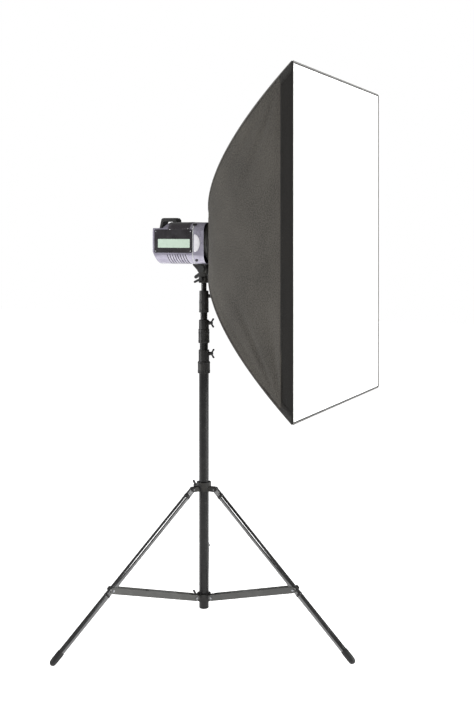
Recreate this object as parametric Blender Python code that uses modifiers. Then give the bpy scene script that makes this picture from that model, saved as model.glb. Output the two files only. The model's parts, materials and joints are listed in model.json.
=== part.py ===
"""Studio softbox on a compact flash head, a tilt bracket and a three-riser light stand.

Metres, +Z up, standing on z = 0. The softbox faces -Y. The origin is the centre of the
footprint's bounding box, so the column stands a little to one side of it.
"""

import bmesh
import bpy
from math import acos, atan2, cos, hypot, pi, radians, sin
from mathutils import Matrix, Vector

# ---------------------------------------------------------------- clearances
GAP = 0.0003            # between pieces that touch
RUN = 0.0005            # around shafts, screws and sliding tubes
SIDES = 18              # facets of an ordinary round piece
PIN_SIDES = 8           # facets of a pin, screw or small boss

# ---------------------------------------------------------------- stand
TUBE_WALL = 0.0015
COLUMN_R = 0.0175
RISER_R = (0.0150, 0.0125, 0.0095)      # each runs inside the one before
RISER_FOOT_Z = (0.150, 0.170, 0.200)    # lower ends of the three risers
COLUMN_BOTTOM = 0.0995
COLLAR_Z = (0.9345, 1.0424, 1.1515)     # lower ends of the three clamp collars
COLLAR_SLEEVE_H = (0.0422, 0.0500, 0.0450)
COLLAR_CLAMP_H = (0.0413, 0.0326, 0.0325)
COLLAR_SLEEVE_WALL = (0.0045, 0.0048, 0.0045)
COLLAR_CLAMP_WALL = (0.0042, 0.0055, 0.0070)
COLLAR_SHELF = 0.0030                   # step inside a collar that its lower tube butts against
COLLAR_KNOB_DROP = (0.014, 0.0115, 0.019)   # knob's axis below the collar's top
COLLAR_KNOB_YAW = radians(-66)
SPIGOT_R = 0.0080
SPIGOT_LENGTH = 0.038

LEG_YAWS = tuple(radians(24.7 + 120 * turn) for turn in range(3))
LEG_R = 0.0110
LEG_LENGTH = 0.736                      # pivot to the middle of the foot ball
LEG_PIVOT_R = 0.046
LEG_PIVOT_Z = 0.523
LEG_TONGUE = 0.0120
LEG_TONGUE_R = 0.0090
LEG_LUG = 0.0040
LEG_LUG_R = 0.0080
LEG_BOSS_R = LEG_R - 0.0035             # the boss that spaces the brace's fork off the leg
LEG_TIP = 0.0020                        # the tube ends this far short of the foot ball's middle
FOOT_LIP = 0.0008                       # the foot's sleeve is this much slimmer than its ball
LUG_ROOT = 0.0015                       # a lug starts this far outside the column's surface
FOOT_R = 0.0135
FOOT_SINK = 0.0030                      # how much of the foot ball is worn flat
FOOT_SLEEVE = 0.032
HINGE_PIN_R = 0.0028

BRACE_PIVOT_R = 0.038
BRACE_PIVOT_Z = 0.139
BRACE_ON_LEG = 0.439                    # from the leg's pivot to the brace's pin
BRACE_HALF_H = 0.0105
BRACE_STRAP = 0.0020
BRACE_WEB_T = 0.0016
BRACE_CLEAR = 0.0007                    # each side of the foot, so leg and foot fold through
BRACE_WEB = (0.078, 0.190)              # the channel's top web starts beyond the folded foot
BRACE_LUG_PLAY = 0.0010                 # each side, between a collar lug and the brace's straps
BRACE_LUG_R = 0.0080
RIVET_R = 0.0040
RIVET_HEAD = 0.0012
RIVET_ROOT = 0.0008                     # how deep a rivet's head sits in its strap

LEG_COLLAR_H = 0.032
LEG_COLLAR_R = 0.0260
BRACE_COLLAR_H = 0.026
BRACE_COLLAR_R = 0.0250
COLLAR_SCREW_YAW = LEG_YAWS[0] + radians(60)

KNOB_HUB_R = 0.0065
KNOB_HUB_L = 0.0080
KNOB_WING = 0.0165
KNOB_WING_T = 0.0050
KNOB_SCREW_R = 0.0030
KNOB_SCREW_L = 0.0080
BOSS_R = 0.0070

# ---------------------------------------------------------------- flash head
AXIS_Z = 1.405                          # optical axis above the floor
HEAD_FRONT = -0.032
HEAD_REAR = 0.170
HEAD_HALF_W = 0.070
HEAD_TOP = 0.068
HEAD_BOTTOM = -0.080
HEAD_CORNER = 0.032
HEAD_WALL = 0.0030
STEP_FRONT = 0.112                      # the top falls away behind this line
STEP_BACK = 0.132
STEP_Z = 0.048
CHAMFER_Y = 0.150
CHAMFER_Z = -0.036
PANEL_T = 0.0015
PANEL_Y = (0.0125, 0.163)
PANEL_Z = (-0.040, 0.043)
LABEL_Y = (0.021, 0.1475)
LABEL_Z = (-0.022, 0.009)
LABEL_T = 0.0010
SLOT_COUNT = 8
SLOT_W = 0.0030
SLOT_Y = (0.040, 0.112)
SLOT_Z = (-0.092, -0.0455)
SLOT_LEAN = radians(17)
GRIP_HALF_W = 0.020
GRIP_Y = (0.099, 0.161)
GRIP_TOP = 0.084
GRIP_T = 0.013
REAR_PANEL_T = 0.0030
REAR_PANEL_Y = 0.162
BAYONET_R = 0.075
BAYONET_BORE = 0.060
BAYONET_L = 0.028
LAMP_PLATE_T = 0.003
DOME_R = 0.046
DOME_L = 0.072
DOME_WALL = 0.002
FLASH_RING_R = 0.033
FLASH_TUBE_R = 0.004
BULB_R = 0.014
CAPACITOR_R = 0.024
CAPACITOR_L = 0.085
BOARD_T = 0.0016
FAN_SIZE = 0.060
FAN_DEPTH = 0.018
FAN_BORE = 0.027
DIAL_R = 0.0110
BUTTON_R = 0.0045
INLET_DEPTH = 0.0160                    # of the mains inlet behind the rear panel's face
INLET_CAVITY = 0.0120
INLET_WALL = 0.0025
INLET_RIM = 0.0015

# ---------------------------------------------------------------- tilt bracket
TILT_DROP = 0.097                       # tilt pivot below the optical axis
BRACKET_BOTTOM = -0.148
CHEEK_T = 0.0060
CHEEK_IN = 0.0160                       # inner faces of the two cheeks
TONGUE_HALF = 0.0150
TONGUE_R = 0.0120
MOUNT_Y = (-0.016, 0.034)
MOUNT_FOOT_R = 0.0175
MOUNT_WEB = 0.0040
MOUNT_PLATE = 0.0040
SOCKET_R = 0.0190
SOCKET_H = 0.0230
TILT_BOLT_R = 0.0040
TILT_ARM_L = 0.055
CLAMP_Z = -0.133                        # spigot clamp screw below the optical axis
CLAMP_ARM_L = 0.030

# ---------------------------------------------------------------- softbox
BOX_HALF_W = 0.450
BOX_HALF_H = 0.550
BOX_FRONT = -0.510
ROD_R = 0.0030
ROD_SEAT = 0.0020                       # how deep a rod's hole enters the ring
ROD_STRAIGHT = 0.120                    # a rod starts to bow at this radius
ROD_BOW = 1.48
ROD_SHY = 0.014                         # a rod stops this far short of the front corner
RING_R = 0.080
RING_BORE = 0.056
RING_T = 0.013
RING_NOSE_R = 0.0590
RING_NOSE_L = 0.014
SOCKET_TUBE_R = 0.0062
SOCKET_TUBE_END = 0.104
SKIN_T = 0.0012
SOCKET_CLEAR = 0.0028                   # between the rod sockets and the fabric behind them
SKIN_SIDE_STEPS = 4
SKIN_STATIONS = 12
HEM_EASE = 0.0040                       # the fabric's rear hem is this much wider than the bayonet ring
PANEL_START = 0.135                     # corner radius where the four panels begin
DIFFUSER_T = 0.0012
DIFFUSER_RECESS = 0.0025
DIFFUSER_MARGIN = 0.0080
INNER_DIFFUSER_Y = -0.260
INNER_DIFFUSER_MARGIN = 0.030

# ---------------------------------------------------------------- worked out from the above
LEG_TILT = acos((LEG_PIVOT_Z - FOOT_R + FOOT_SINK) / LEG_LENGTH)
BRACE_OUT_R = LEG_PIVOT_R + BRACE_ON_LEG * sin(LEG_TILT)
BRACE_OUT_Z = LEG_PIVOT_Z - BRACE_ON_LEG * cos(LEG_TILT)
BRACE_LENGTH = hypot(BRACE_OUT_R - BRACE_PIVOT_R, BRACE_OUT_Z - BRACE_PIVOT_Z)
BRACE_RISE = atan2(BRACE_OUT_Z - BRACE_PIVOT_Z, BRACE_OUT_R - BRACE_PIVOT_R)
BRACE_GAP_HALF = FOOT_R + BRACE_CLEAR
BRACE_HALF_W = BRACE_GAP_HALF + BRACE_STRAP
BRACE_FOLDED = acos((LEG_PIVOT_R - BRACE_PIVOT_R) / BRACE_LENGTH)
FOLD_TRAVEL = BRACE_PIVOT_Z + BRACE_LENGTH * sin(BRACE_FOLDED) + BRACE_ON_LEG - LEG_PIVOT_Z
FOOT_OUT = LEG_PIVOT_R + LEG_LENGTH * sin(LEG_TILT)
COLLAR_SHELF_Z = tuple(low + sleeve - COLLAR_SHELF for low, sleeve in zip(COLLAR_Z, COLLAR_SLEEVE_H))
RING_BACK = HEAD_FRONT - 2 * GAP - BAYONET_L
ROD_PLANE = RING_BACK - RING_T / 2
ROD_INSET = SOCKET_TUBE_R + SKIN_T + SOCKET_CLEAR
SKIN_BACK = ROD_PLANE + ROD_INSET
SKIN_DEPTH = SKIN_BACK - BOX_FRONT
HEM_R = BAYONET_R + HEM_EASE
CORNER_R = hypot(BOX_HALF_W, BOX_HALF_H)
CORNER_X = BOX_HALF_W / CORNER_R
CORNER_Z = BOX_HALF_H / CORNER_R


# ---------------------------------------------------------------- scene and materials
def fresh_collection(name):
    """An emptied scene with one collection for the parts."""
    for obj in list(bpy.data.objects):
        bpy.data.objects.remove(obj)
    collection = bpy.data.collections.new(name)
    bpy.context.scene.collection.children.link(collection)
    return collection


def material(name, colour, roughness, metallic=0.0):
    """A plain Principled finish."""
    finish = bpy.data.materials.new(name)
    finish.use_nodes = True
    shader = finish.node_tree.nodes["Principled BSDF"]
    shader.inputs["Base Color"].default_value = (*colour, 1.0)
    shader.inputs["Roughness"].default_value = roughness
    shader.inputs["Metallic"].default_value = metallic
    return finish


PARTS = fresh_collection("studio_softbox")
BLACK_TUBE = material("black_tube", (0.022, 0.022, 0.024), 0.30, 0.6)
BLACK_CASTING = material("black_casting", (0.030, 0.029, 0.026), 0.55, 0.2)
GREY_COLLAR = material("grey_collar", (0.055, 0.055, 0.052), 0.50, 0.3)
GREY_STEEL = material("grey_steel", (0.105, 0.105, 0.098), 0.45, 0.7)
BLACK_PLASTIC = material("black_plastic", (0.012, 0.012, 0.012), 0.45)
BLACK_RUBBER = material("black_rubber", (0.010, 0.010, 0.010), 0.80)
SILVER_PAINT = material("silver_paint", (0.45, 0.43, 0.52), 0.35, 0.4)
DARK_PANEL = material("dark_panel", (0.028, 0.025, 0.028), 0.35)
PALE_LABEL = material("pale_label", (0.62, 0.75, 0.64), 0.60)
PALE_PLASTIC = material("pale_plastic", (0.70, 0.70, 0.68), 0.50)
CAST_ALUMINIUM = material("cast_aluminium", (0.52, 0.52, 0.54), 0.40, 0.9)
SPRING_STEEL = material("spring_steel", (0.35, 0.35, 0.36), 0.30, 1.0)
CLEAR_GLASS = material("clear_glass", (0.90, 0.92, 0.93), 0.08)
BOARD_GREEN = material("board_green", (0.02, 0.12, 0.05), 0.50)
CAPACITOR_BLUE = material("capacitor_blue", (0.03, 0.06, 0.16), 0.35)
SCREEN_RED = material("screen_red", (0.16, 0.01, 0.01), 0.15)
DARK_FABRIC = material("dark_fabric", (0.102, 0.100, 0.089), 0.85)
WHITE_FABRIC = material("white_fabric", (0.88, 0.88, 0.88), 0.80)


# ---------------------------------------------------------------- shapes
def scratch(mesh):
    """A short-lived object that carries modifiers."""
    obj = bpy.data.objects.new("scratch", mesh)
    bpy.context.scene.collection.objects.link(obj)
    return obj


def evaluated(obj):
    """The finished mesh of a scratch object, which is then removed."""
    graph = bpy.context.evaluated_depsgraph_get()
    mesh = bpy.data.meshes.new_from_object(obj.evaluated_get(graph))
    bpy.data.objects.remove(obj)
    return mesh


def combine(base, add=(), cut=(), keep=()):
    """The base mesh with others joined to it, cut from it, or limiting it."""
    body = scratch(base)
    tools = []
    for operation, meshes in (("UNION", add), ("DIFFERENCE", cut), ("INTERSECT", keep)):
        for mesh in meshes:
            tool = scratch(mesh)
            tools.append(tool)
            boolean = body.modifiers.new("boolean", "BOOLEAN")
            boolean.operation = operation
            boolean.solver = "EXACT"
            boolean.object = tool
    result = evaluated(body)
    for tool in tools:
        bpy.data.objects.remove(tool)
    return result


def moved(mesh, offset=(0, 0, 0), turn=None):
    """The mesh turned, then shifted, in place."""
    mesh.transform(Matrix.Translation(offset) @ (turn or Matrix()))
    return mesh


def along(direction):
    """The turn that brings +Z round to a direction."""
    return Vector((0, 0, 1)).rotation_difference(Vector(direction)).to_matrix().to_4x4()


def box(low, high, bevel=0.0):
    """A block between two corners, with rounded edges where bevel is given."""
    low, high = Vector(low), Vector(high)
    mesh = bpy.data.meshes.new("box")
    cage = bmesh.new()
    size = Matrix.Diagonal((*(high - low), 1))
    bmesh.ops.create_cube(cage, matrix=Matrix.Translation((low + high) / 2) @ size)
    cage.to_mesh(mesh)
    cage.free()
    if not bevel:
        return mesh
    body = scratch(mesh)
    rounding = body.modifiers.new("bevel", "BEVEL")
    rounding.width = bevel
    rounding.segments = 2
    return evaluated(body)


def rod(radius, start, end, sides=SIDES):
    """A solid cylinder from one point to another."""
    start, end = Vector(start), Vector(end)
    mesh = bpy.data.meshes.new("rod")
    cage = bmesh.new()
    bmesh.ops.create_cone(
        cage, cap_ends=True, segments=sides, radius1=radius, radius2=radius, depth=(end - start).length
    )
    cage.to_mesh(mesh)
    cage.free()
    return moved(mesh, (start + end) / 2, along(end - start))


def turned(profile, sides=SIDES, closed=False):
    """A profile of (radius, height), outer side downwards, turned round Z.

    An open profile starts and ends on the axis; a closed one is the section of a ring.
    """
    count = len(profile)
    edges = [(step, (step + 1) % count) for step in range(count if closed else count - 1)]
    mesh = bpy.data.meshes.new("turned")
    mesh.from_pydata([(radius, 0, height) for radius, height in profile], edges, [])
    body = scratch(mesh)
    screw = body.modifiers.new("screw", "SCREW")
    screw.axis = "Z"
    screw.steps = sides
    screw.render_steps = sides
    screw.use_merge_vertices = True
    screw.merge_threshold = 0.00001
    return evaluated(body)


def ring(outer, inner, low, high, sides=SIDES):
    """A plain tube between two heights."""
    return turned(((outer, high), (outer, low), (inner, low), (inner, high)), sides, closed=True)


def from_curve(curve):
    """A curve object's mesh with its caps welded on and its faces pointing out."""
    obj = bpy.data.objects.new("curve", curve)
    bpy.context.scene.collection.objects.link(obj)
    mesh = evaluated(obj)
    cage = bmesh.new()
    cage.from_mesh(mesh)
    bmesh.ops.remove_doubles(cage, verts=cage.verts, dist=0.00001)
    bmesh.ops.recalc_face_normals(cage, faces=cage.faces)
    cage.to_mesh(mesh)
    cage.free()
    return mesh


def slab(outline, thickness, turn=None, offset=(0, 0, 0)):
    """A flat outline, extruded evenly to both sides of its plane."""
    curve = bpy.data.curves.new("outline", "CURVE")
    curve.dimensions = "2D"
    curve.fill_mode = "BOTH"
    curve.extrude = thickness / 2
    spline = curve.splines.new("POLY")
    spline.points.add(len(outline) - 1)
    for point, (u, v) in zip(spline.points, outline):
        point.co = (u, v, 0, 1)
    spline.use_cyclic_u = True
    return moved(from_curve(curve), offset, turn)


def wire(points, radius):
    """A round bar through points, with flat ends and eight sides."""
    curve = bpy.data.curves.new("wire", "CURVE")
    curve.dimensions = "3D"
    curve.bevel_depth = radius
    curve.bevel_resolution = 2
    curve.use_fill_caps = True
    spline = curve.splines.new("POLY")
    spline.points.add(len(points) - 1)
    for point, place in zip(spline.points, points):
        point.co = (*place, 1)
    return from_curve(curve)


def arc(centre_u, centre_v, radius, start, end, steps):
    """Points on an arc in a plane, angles in degrees."""
    angles = [radians(start + (end - start) * step / steps) for step in range(steps + 1)]
    return [(centre_u + radius * cos(angle), centre_v + radius * sin(angle)) for angle in angles]


def rounded_rectangle(low_u, low_v, high_u, high_v, radius, steps=4):
    """An outline with four round corners."""
    corners = (
        (high_u - radius, high_v - radius, 0),
        (low_u + radius, high_v - radius, 90),
        (low_u + radius, low_v + radius, 180),
        (high_u - radius, low_v + radius, 270),
    )
    outline = []
    for centre_u, centre_v, start in corners:
        outline += arc(centre_u, centre_v, radius, start, start + 90, steps)
    return outline


def stadium(start, end, radius, steps=8):
    """A flat bar's outline along u, with round ends past its two centres."""
    return arc(end, 0, radius, -90, 90, steps) + arc(start, 0, radius, 90, 270, steps)


ALONG_X = Matrix.Rotation(pi / 2, 4, "Z") @ Matrix.Rotation(pi / 2, 4, "X")     # outlines in YZ
ALONG_Y = Matrix.Rotation(pi / 2, 4, "X")                                       # outlines in XZ


def piece(name, mesh, finish, parent, location=(0, 0, 0), rotation=(0, 0, 0)):
    """A named part on its parent empty."""
    mesh.name = name
    mesh.materials.clear()
    mesh.materials.append(finish)
    mesh.shade_smooth()
    mesh.set_sharp_from_angle(angle=radians(35))
    obj = bpy.data.objects.new(name, mesh)
    PARTS.objects.link(obj)
    obj.parent = parent
    obj.location = location
    obj.rotation_euler = rotation
    return obj


def pivot(name, parent, location):
    """An empty on a joint's axis."""
    empty = bpy.data.objects.new(name, None)
    PARTS.objects.link(empty)
    empty.parent = parent
    empty.location = location
    return empty


def outward(yaw, radius, height):
    """A point at a radius from the column, in the direction of a yaw."""
    return Vector((radius * cos(yaw), radius * sin(yaw), height))


# ---------------------------------------------------------------- the stand
def wing_knob_shape():
    """A hub with two flared wings and a clamping screw; +Z points away from the collar."""
    hub = turned(
        ((0, KNOB_HUB_L), (KNOB_HUB_R, KNOB_HUB_L), (KNOB_HUB_R, 0), (KNOB_SCREW_R, 0),
         (KNOB_SCREW_R, -KNOB_SCREW_L), (0, -KNOB_SCREW_L)),
        10,
    )
    half = (
        (KNOB_HUB_R - 0.002, 0.0015), (KNOB_WING, 0.0080), (KNOB_WING + 0.0005, 0.0125),
        (KNOB_WING - 0.003, 0.0145), (KNOB_HUB_R - 0.002, KNOB_HUB_L),
    )
    outline = list(half) + [(-u, v) for u, v in reversed(half)]
    return combine(hub, add=[slab(outline, KNOB_WING_T, ALONG_Y)])


def wing_knob(name, shape, parent, yaw, radius, height):
    """A wing knob whose hub starts at a radius, turning on a radial axis."""
    return piece(name, shape.copy(), BLACK_PLASTIC, parent, outward(yaw, radius, height), (0, pi / 2, yaw))


def screw_boss(yaw, height, inner, outer):
    """The boss for a clamping screw and the hole through it."""
    boss = rod(BOSS_R, outward(yaw, inner + 0.0015, height), outward(yaw, outer, height), 12)
    start = outward(yaw, inner - 0.004, height)
    hole = rod(KNOB_SCREW_R + RUN, start, outward(yaw, outer + 0.002, height), PIN_SIDES)
    return boss, hole


def clamp_collar(index, parent, knob_shape):
    """A collar fixed on one tube that clamps the next, with its wing knob."""
    low = COLLAR_Z[index]
    step = low + COLLAR_SLEEVE_H[index]
    top = step + COLLAR_CLAMP_H[index]
    tube_r = (COLUMN_R, *RISER_R)[index]
    bore = RISER_R[index] + RUN
    sleeve_r = tube_r + COLLAR_SLEEVE_WALL[index]
    clamp_r = RISER_R[index] + COLLAR_CLAMP_WALL[index]
    body = turned(
        (
            (clamp_r - 0.001, top), (clamp_r, top - 0.001), (clamp_r, step), (sleeve_r, step - 0.001),
            (sleeve_r, low), (tube_r + GAP, low), (tube_r + GAP, COLLAR_SHELF_Z[index]),
            (bore, COLLAR_SHELF_Z[index]), (bore, top),
        ),
        closed=True,
    )
    height = top - COLLAR_KNOB_DROP[index]
    face = clamp_r + 0.0045
    boss, hole = screw_boss(COLLAR_KNOB_YAW, height, bore, face)
    piece(f"clamp_collar_{index + 1}", combine(body, add=[boss], cut=[hole]), GREY_COLLAR, parent)
    wing_knob(f"clamp_knob_{index + 1}", knob_shape, parent, COLLAR_KNOB_YAW, face + GAP, height)


def column(stand, knob_shape):
    """The base tube, three risers inside each other, and the collars between them."""
    base = ring(COLUMN_R, COLUMN_R - TUBE_WALL, COLUMN_BOTTOM, COLLAR_SHELF_Z[0] - GAP)
    piece("base_tube", base, BLACK_TUBE, stand)
    plug_r = COLUMN_R - TUBE_WALL - GAP
    flange = COLUMN_BOTTOM - GAP
    cap = turned(
        ((0, flange + 0.014), (plug_r, flange + 0.014), (plug_r, flange), (COLUMN_R, flange),
         (COLUMN_R, flange - 0.003), (COLUMN_R - 0.002, flange - 0.005), (0, flange - 0.005))
    )
    piece("column_end_cap", cap, BLACK_PLASTIC, stand)
    for index in range(3):
        clamp_collar(index, stand, knob_shape)
    for index in range(2):
        outer = RISER_R[index]
        tube = ring(outer, outer - TUBE_WALL, RISER_FOOT_Z[index], COLLAR_SHELF_Z[index + 1] - GAP)
        piece(f"riser_{index + 1}", tube, BLACK_TUBE, stand)
    top_riser(stand)


def top_riser(stand):
    """The last tube, closed by the stud that carries the tilt bracket."""
    outer = RISER_R[2]
    shoulder = AXIS_Z + BRACKET_BOTTOM - GAP
    tip = shoulder + SPIGOT_LENGTH
    waist = SPIGOT_R - 0.0015
    tube = turned(
        (
            (0, tip), (SPIGOT_R - 0.001, tip), (SPIGOT_R, tip - 0.001), (SPIGOT_R, tip - 0.014),
            (waist, tip - 0.016), (waist, tip - 0.024), (SPIGOT_R, tip - 0.026), (SPIGOT_R, shoulder),
            (outer, shoulder), (outer, RISER_FOOT_Z[2]), (outer - TUBE_WALL, RISER_FOOT_Z[2]),
            (outer - TUBE_WALL, shoulder - 0.020), (0, shoulder - 0.020),
        )
    )
    piece("top_riser_with_spigot", tube, BLACK_TUBE, stand)


def leg_shape():
    """A leg hanging straight down from its pivot: flat tongue, tube, pivot pin and brace boss."""
    shoulder = -0.022
    end = -(LEG_LENGTH - LEG_TIP - GAP)
    tube = turned(
        ((0, shoulder), (LEG_R - 0.002, shoulder), (LEG_R, shoulder - 0.003), (LEG_R, end),
         (LEG_R - TUBE_WALL, end), (LEG_R - TUBE_WALL, shoulder - 0.012), (0, shoulder - 0.012)),
        12,
    )
    tongue = slab([(v, -u) for u, v in stadium(0, 0.024, LEG_TONGUE_R, 4)], LEG_TONGUE, ALONG_Y)
    pin_end = LEG_TONGUE / 2 + GAP + LEG_LUG + 0.0015
    pin = rod(HINGE_PIN_R, (0, -pin_end, 0), (0, pin_end, 0), PIN_SIDES)
    boss_end = BRACE_GAP_HALF - GAP
    boss = rod(LEG_BOSS_R, (0, -boss_end, -BRACE_ON_LEG), (0, boss_end, -BRACE_ON_LEG), PIN_SIDES)
    return combine(tube, add=[tongue, pin, boss])


def foot_shape():
    """A rubber cup over the leg's end, with a ball worn flat where it meets the floor."""
    floor = -(LEG_LENGTH - LEG_TIP)
    rim = -(LEG_LENGTH - FOOT_SLEEVE)
    ball = [(u, v - LEG_LENGTH) for u, v in arc(0, 0, FOOT_R, 0, -90, 4)]
    inside = [(0, floor), (LEG_R + GAP, floor), (LEG_R + GAP, rim)]
    outside = [(FOOT_R - FOOT_LIP, rim), *ball[:-1], (0, ball[-1][1])]
    cup = turned([*inside, *outside], 12)
    ground = box((0, -0.05, -LEG_PIVOT_Z - 0.05), (2 * FOOT_OUT, 0.05, -LEG_PIVOT_Z))
    return combine(cup, cut=[moved(ground, turn=Matrix.Rotation(LEG_TILT, 4, "Y"))])


def brace_shape():
    """A channel that opens downwards, forked at its outer end, lying along +X from its pivot."""
    bar = slab(stadium(0, BRACE_LENGTH, BRACE_HALF_H, 4), 2 * BRACE_HALF_W, ALONG_Y)
    far = BRACE_LENGTH + 2 * BRACE_HALF_H
    inside = box((-far, -BRACE_GAP_HALF, -far), (far, BRACE_GAP_HALF, BRACE_HALF_H - BRACE_WEB_T))
    near = box((-far, -BRACE_GAP_HALF, -far), (BRACE_WEB[0], BRACE_GAP_HALF, far))
    fork = box((BRACE_WEB[1], -BRACE_GAP_HALF, -far), (far, BRACE_GAP_HALF, far))
    channel = combine(bar, cut=[inside, near, fork])
    head = BRACE_HALF_W + RIVET_HEAD
    root_y = BRACE_HALF_W - RIVET_ROOT
    pin = rod(HINGE_PIN_R, (0, -head, 0), (0, head, 0), PIN_SIDES)
    rivets = [
        rod(RIVET_R, (BRACE_LENGTH, side * root_y, 0), (BRACE_LENGTH, side * head, 0), PIN_SIDES)
        for side in (-1, 1)
    ]
    return combine(channel, add=[pin, *rivets])


def collar_with_lugs(radius, bore, low, high, lugs, holes, screw_height):
    """A collar on the column with radial lugs, pin holes and a screw boss; returns mesh and boss face."""
    body = ring(radius, bore, low, high)
    face = radius + 0.006
    boss, hole = screw_boss(COLLAR_SCREW_YAW, screw_height, bore, face)
    return combine(body, add=[*lugs, boss], cut=[*holes, hole]), face


def leg_collar(stand, knob_shape):
    """The sliding collar that the three legs hang from."""
    lugs = []
    holes = []
    lug_side = LEG_TONGUE / 2 + GAP + LEG_LUG / 2
    for yaw in LEG_YAWS:
        spin = Matrix.Rotation(yaw, 4, "Z")
        for side in (-lug_side, lug_side):
            outline = stadium(COLUMN_R + LEG_LUG_R + LUG_ROOT, LEG_PIVOT_R, LEG_LUG_R, 4)
            lugs.append(slab(outline, LEG_LUG, spin @ ALONG_Y, spin @ Vector((0, side, 0))))
        reach = LEG_TONGUE / 2 + LEG_LUG + 0.004
        hole = rod(HINGE_PIN_R + RUN, (LEG_PIVOT_R, -reach, 0), (LEG_PIVOT_R, reach, 0), PIN_SIDES)
        holes.append(moved(hole, turn=spin))
    low = -LEG_COLLAR_H / 2 + 0.007
    mesh, face = collar_with_lugs(
        LEG_COLLAR_R, COLUMN_R + RUN, low, low + LEG_COLLAR_H, lugs, holes, low + LEG_COLLAR_H / 2
    )
    piece("leg_collar", mesh, GREY_COLLAR, stand, (0, 0, LEG_PIVOT_Z))
    middle = LEG_PIVOT_Z + low + LEG_COLLAR_H / 2
    wing_knob("leg_collar_knob", knob_shape, stand, COLLAR_SCREW_YAW, face + GAP, middle)


def brace_collar(stand, knob_shape):
    """The fixed collar near the column's foot that the three braces turn on."""
    lugs = []
    holes = []
    lug_width = 2 * (BRACE_GAP_HALF - BRACE_LUG_PLAY)
    for yaw in LEG_YAWS:
        spin = Matrix.Rotation(yaw, 4, "Z")
        outline = stadium(COLUMN_R + BRACE_LUG_R + LUG_ROOT, BRACE_PIVOT_R, BRACE_LUG_R, 4)
        lugs.append(slab(outline, lug_width, spin @ ALONG_Y))
        hole = rod(
            HINGE_PIN_R + RUN, (BRACE_PIVOT_R, -lug_width, 0), (BRACE_PIVOT_R, lug_width, 0), PIN_SIDES
        )
        holes.append(moved(hole, turn=spin))
    low = -BRACE_COLLAR_H / 2 - 0.004
    mesh, face = collar_with_lugs(
        BRACE_COLLAR_R, COLUMN_R + GAP, low, low + BRACE_COLLAR_H, lugs, holes, low + BRACE_COLLAR_H / 2
    )
    piece("brace_collar", mesh, GREY_COLLAR, stand, (0, 0, BRACE_PIVOT_Z))
    middle = BRACE_PIVOT_Z + low + BRACE_COLLAR_H / 2
    wing_knob("brace_collar_knob", knob_shape, stand, COLLAR_SCREW_YAW, face + GAP, middle)


def tripod(stand):
    """Three legs with their feet and braces."""
    leg = leg_shape()
    foot = foot_shape()
    brace = brace_shape()
    for number, yaw in enumerate(LEG_YAWS, 1):
        top = outward(yaw, LEG_PIVOT_R, LEG_PIVOT_Z)
        lean = (0, -LEG_TILT, yaw)
        piece(f"leg_{number}", leg.copy(), BLACK_TUBE, stand, top, lean)
        piece(f"foot_{number}", foot.copy(), BLACK_RUBBER, stand, top, lean)
        root = outward(yaw, BRACE_PIVOT_R, BRACE_PIVOT_Z)
        piece(f"brace_{number}", brace.copy(), GREY_STEEL, stand, root, (0, -BRACE_RISE, yaw))


def stand_place():
    """Where the column stands, so that the feet's bounding box is centred on the origin."""
    middles = []
    for component in (cos, sin):
        feet = [FOOT_OUT * component(yaw) for yaw in LEG_YAWS]
        middles.append(-(max(feet) + min(feet)) / 2)
    return Vector((*middles, 0))


def build_stand():
    """The whole stand; returns the empty on the column's axis."""
    stand = pivot("column_axis", None, stand_place())
    knob_shape = wing_knob_shape()
    column(stand, knob_shape)
    leg_collar(stand, knob_shape)
    brace_collar(stand, knob_shape)
    tripod(stand)
    return stand


# ---------------------------------------------------------------- the tilt bracket
def head_mount(parent):
    """Two cheeks and a web under the housing; +Z is measured from the optical axis."""
    top = HEAD_BOTTOM - GAP
    foot = arc(0, -TILT_DROP, MOUNT_FOOT_R, 195, 345, 8)
    plate = top - MOUNT_PLATE
    outline = [(MOUNT_Y[0], top), (MOUNT_Y[0], plate), *foot, (MOUNT_Y[1], plate), (MOUNT_Y[1], top)]
    block = slab(outline, 2 * (CHEEK_IN + CHEEK_T), ALONG_X)
    space = box((-CHEEK_IN, -0.1, -0.2), (CHEEK_IN, 0.1, top - MOUNT_WEB))
    hole = rod(TILT_BOLT_R + RUN, (-0.05, 0, -TILT_DROP), (0.05, 0, -TILT_DROP), 12)
    piece("head_mount", combine(block, cut=[space, hole]), BLACK_CASTING, parent)


def stand_socket(parent):
    """The tongue between the cheeks and the socket for the spigot."""
    low = BRACKET_BOTTOM
    outline = [*arc(0, -TILT_DROP, TONGUE_R, 0, 180, 10), (-TONGUE_R, low + 0.004), (TONGUE_R, low + 0.004)]
    tongue = slab(outline, 2 * TONGUE_HALF, ALONG_X)
    cup = turned(
        ((0, low + SOCKET_H), (SOCKET_R - 0.004, low + SOCKET_H), (SOCKET_R, low + SOCKET_H - 0.004),
         (SOCKET_R, low + 0.002), (SOCKET_R - 0.002, low), (0, low))
    )
    boss = rod(0.0080, (-0.010, 0, CLAMP_Z), (-(SOCKET_R + 0.003), 0, CLAMP_Z), 12)
    bore = rod(SPIGOT_R + RUN, (0, 0, low - 0.01), (0, 0, low + SPIGOT_LENGTH + 0.001))
    bolt = rod(TILT_BOLT_R + RUN, (-0.05, 0, -TILT_DROP), (0.05, 0, -TILT_DROP), 12)
    screw = rod(KNOB_SCREW_R + RUN, (-0.05, 0, CLAMP_Z), (0, 0, CLAMP_Z), PIN_SIDES)
    piece("stand_socket", combine(cup, add=[tongue, boss], cut=[bore, bolt, screw]), BLACK_CASTING, parent)


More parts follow.
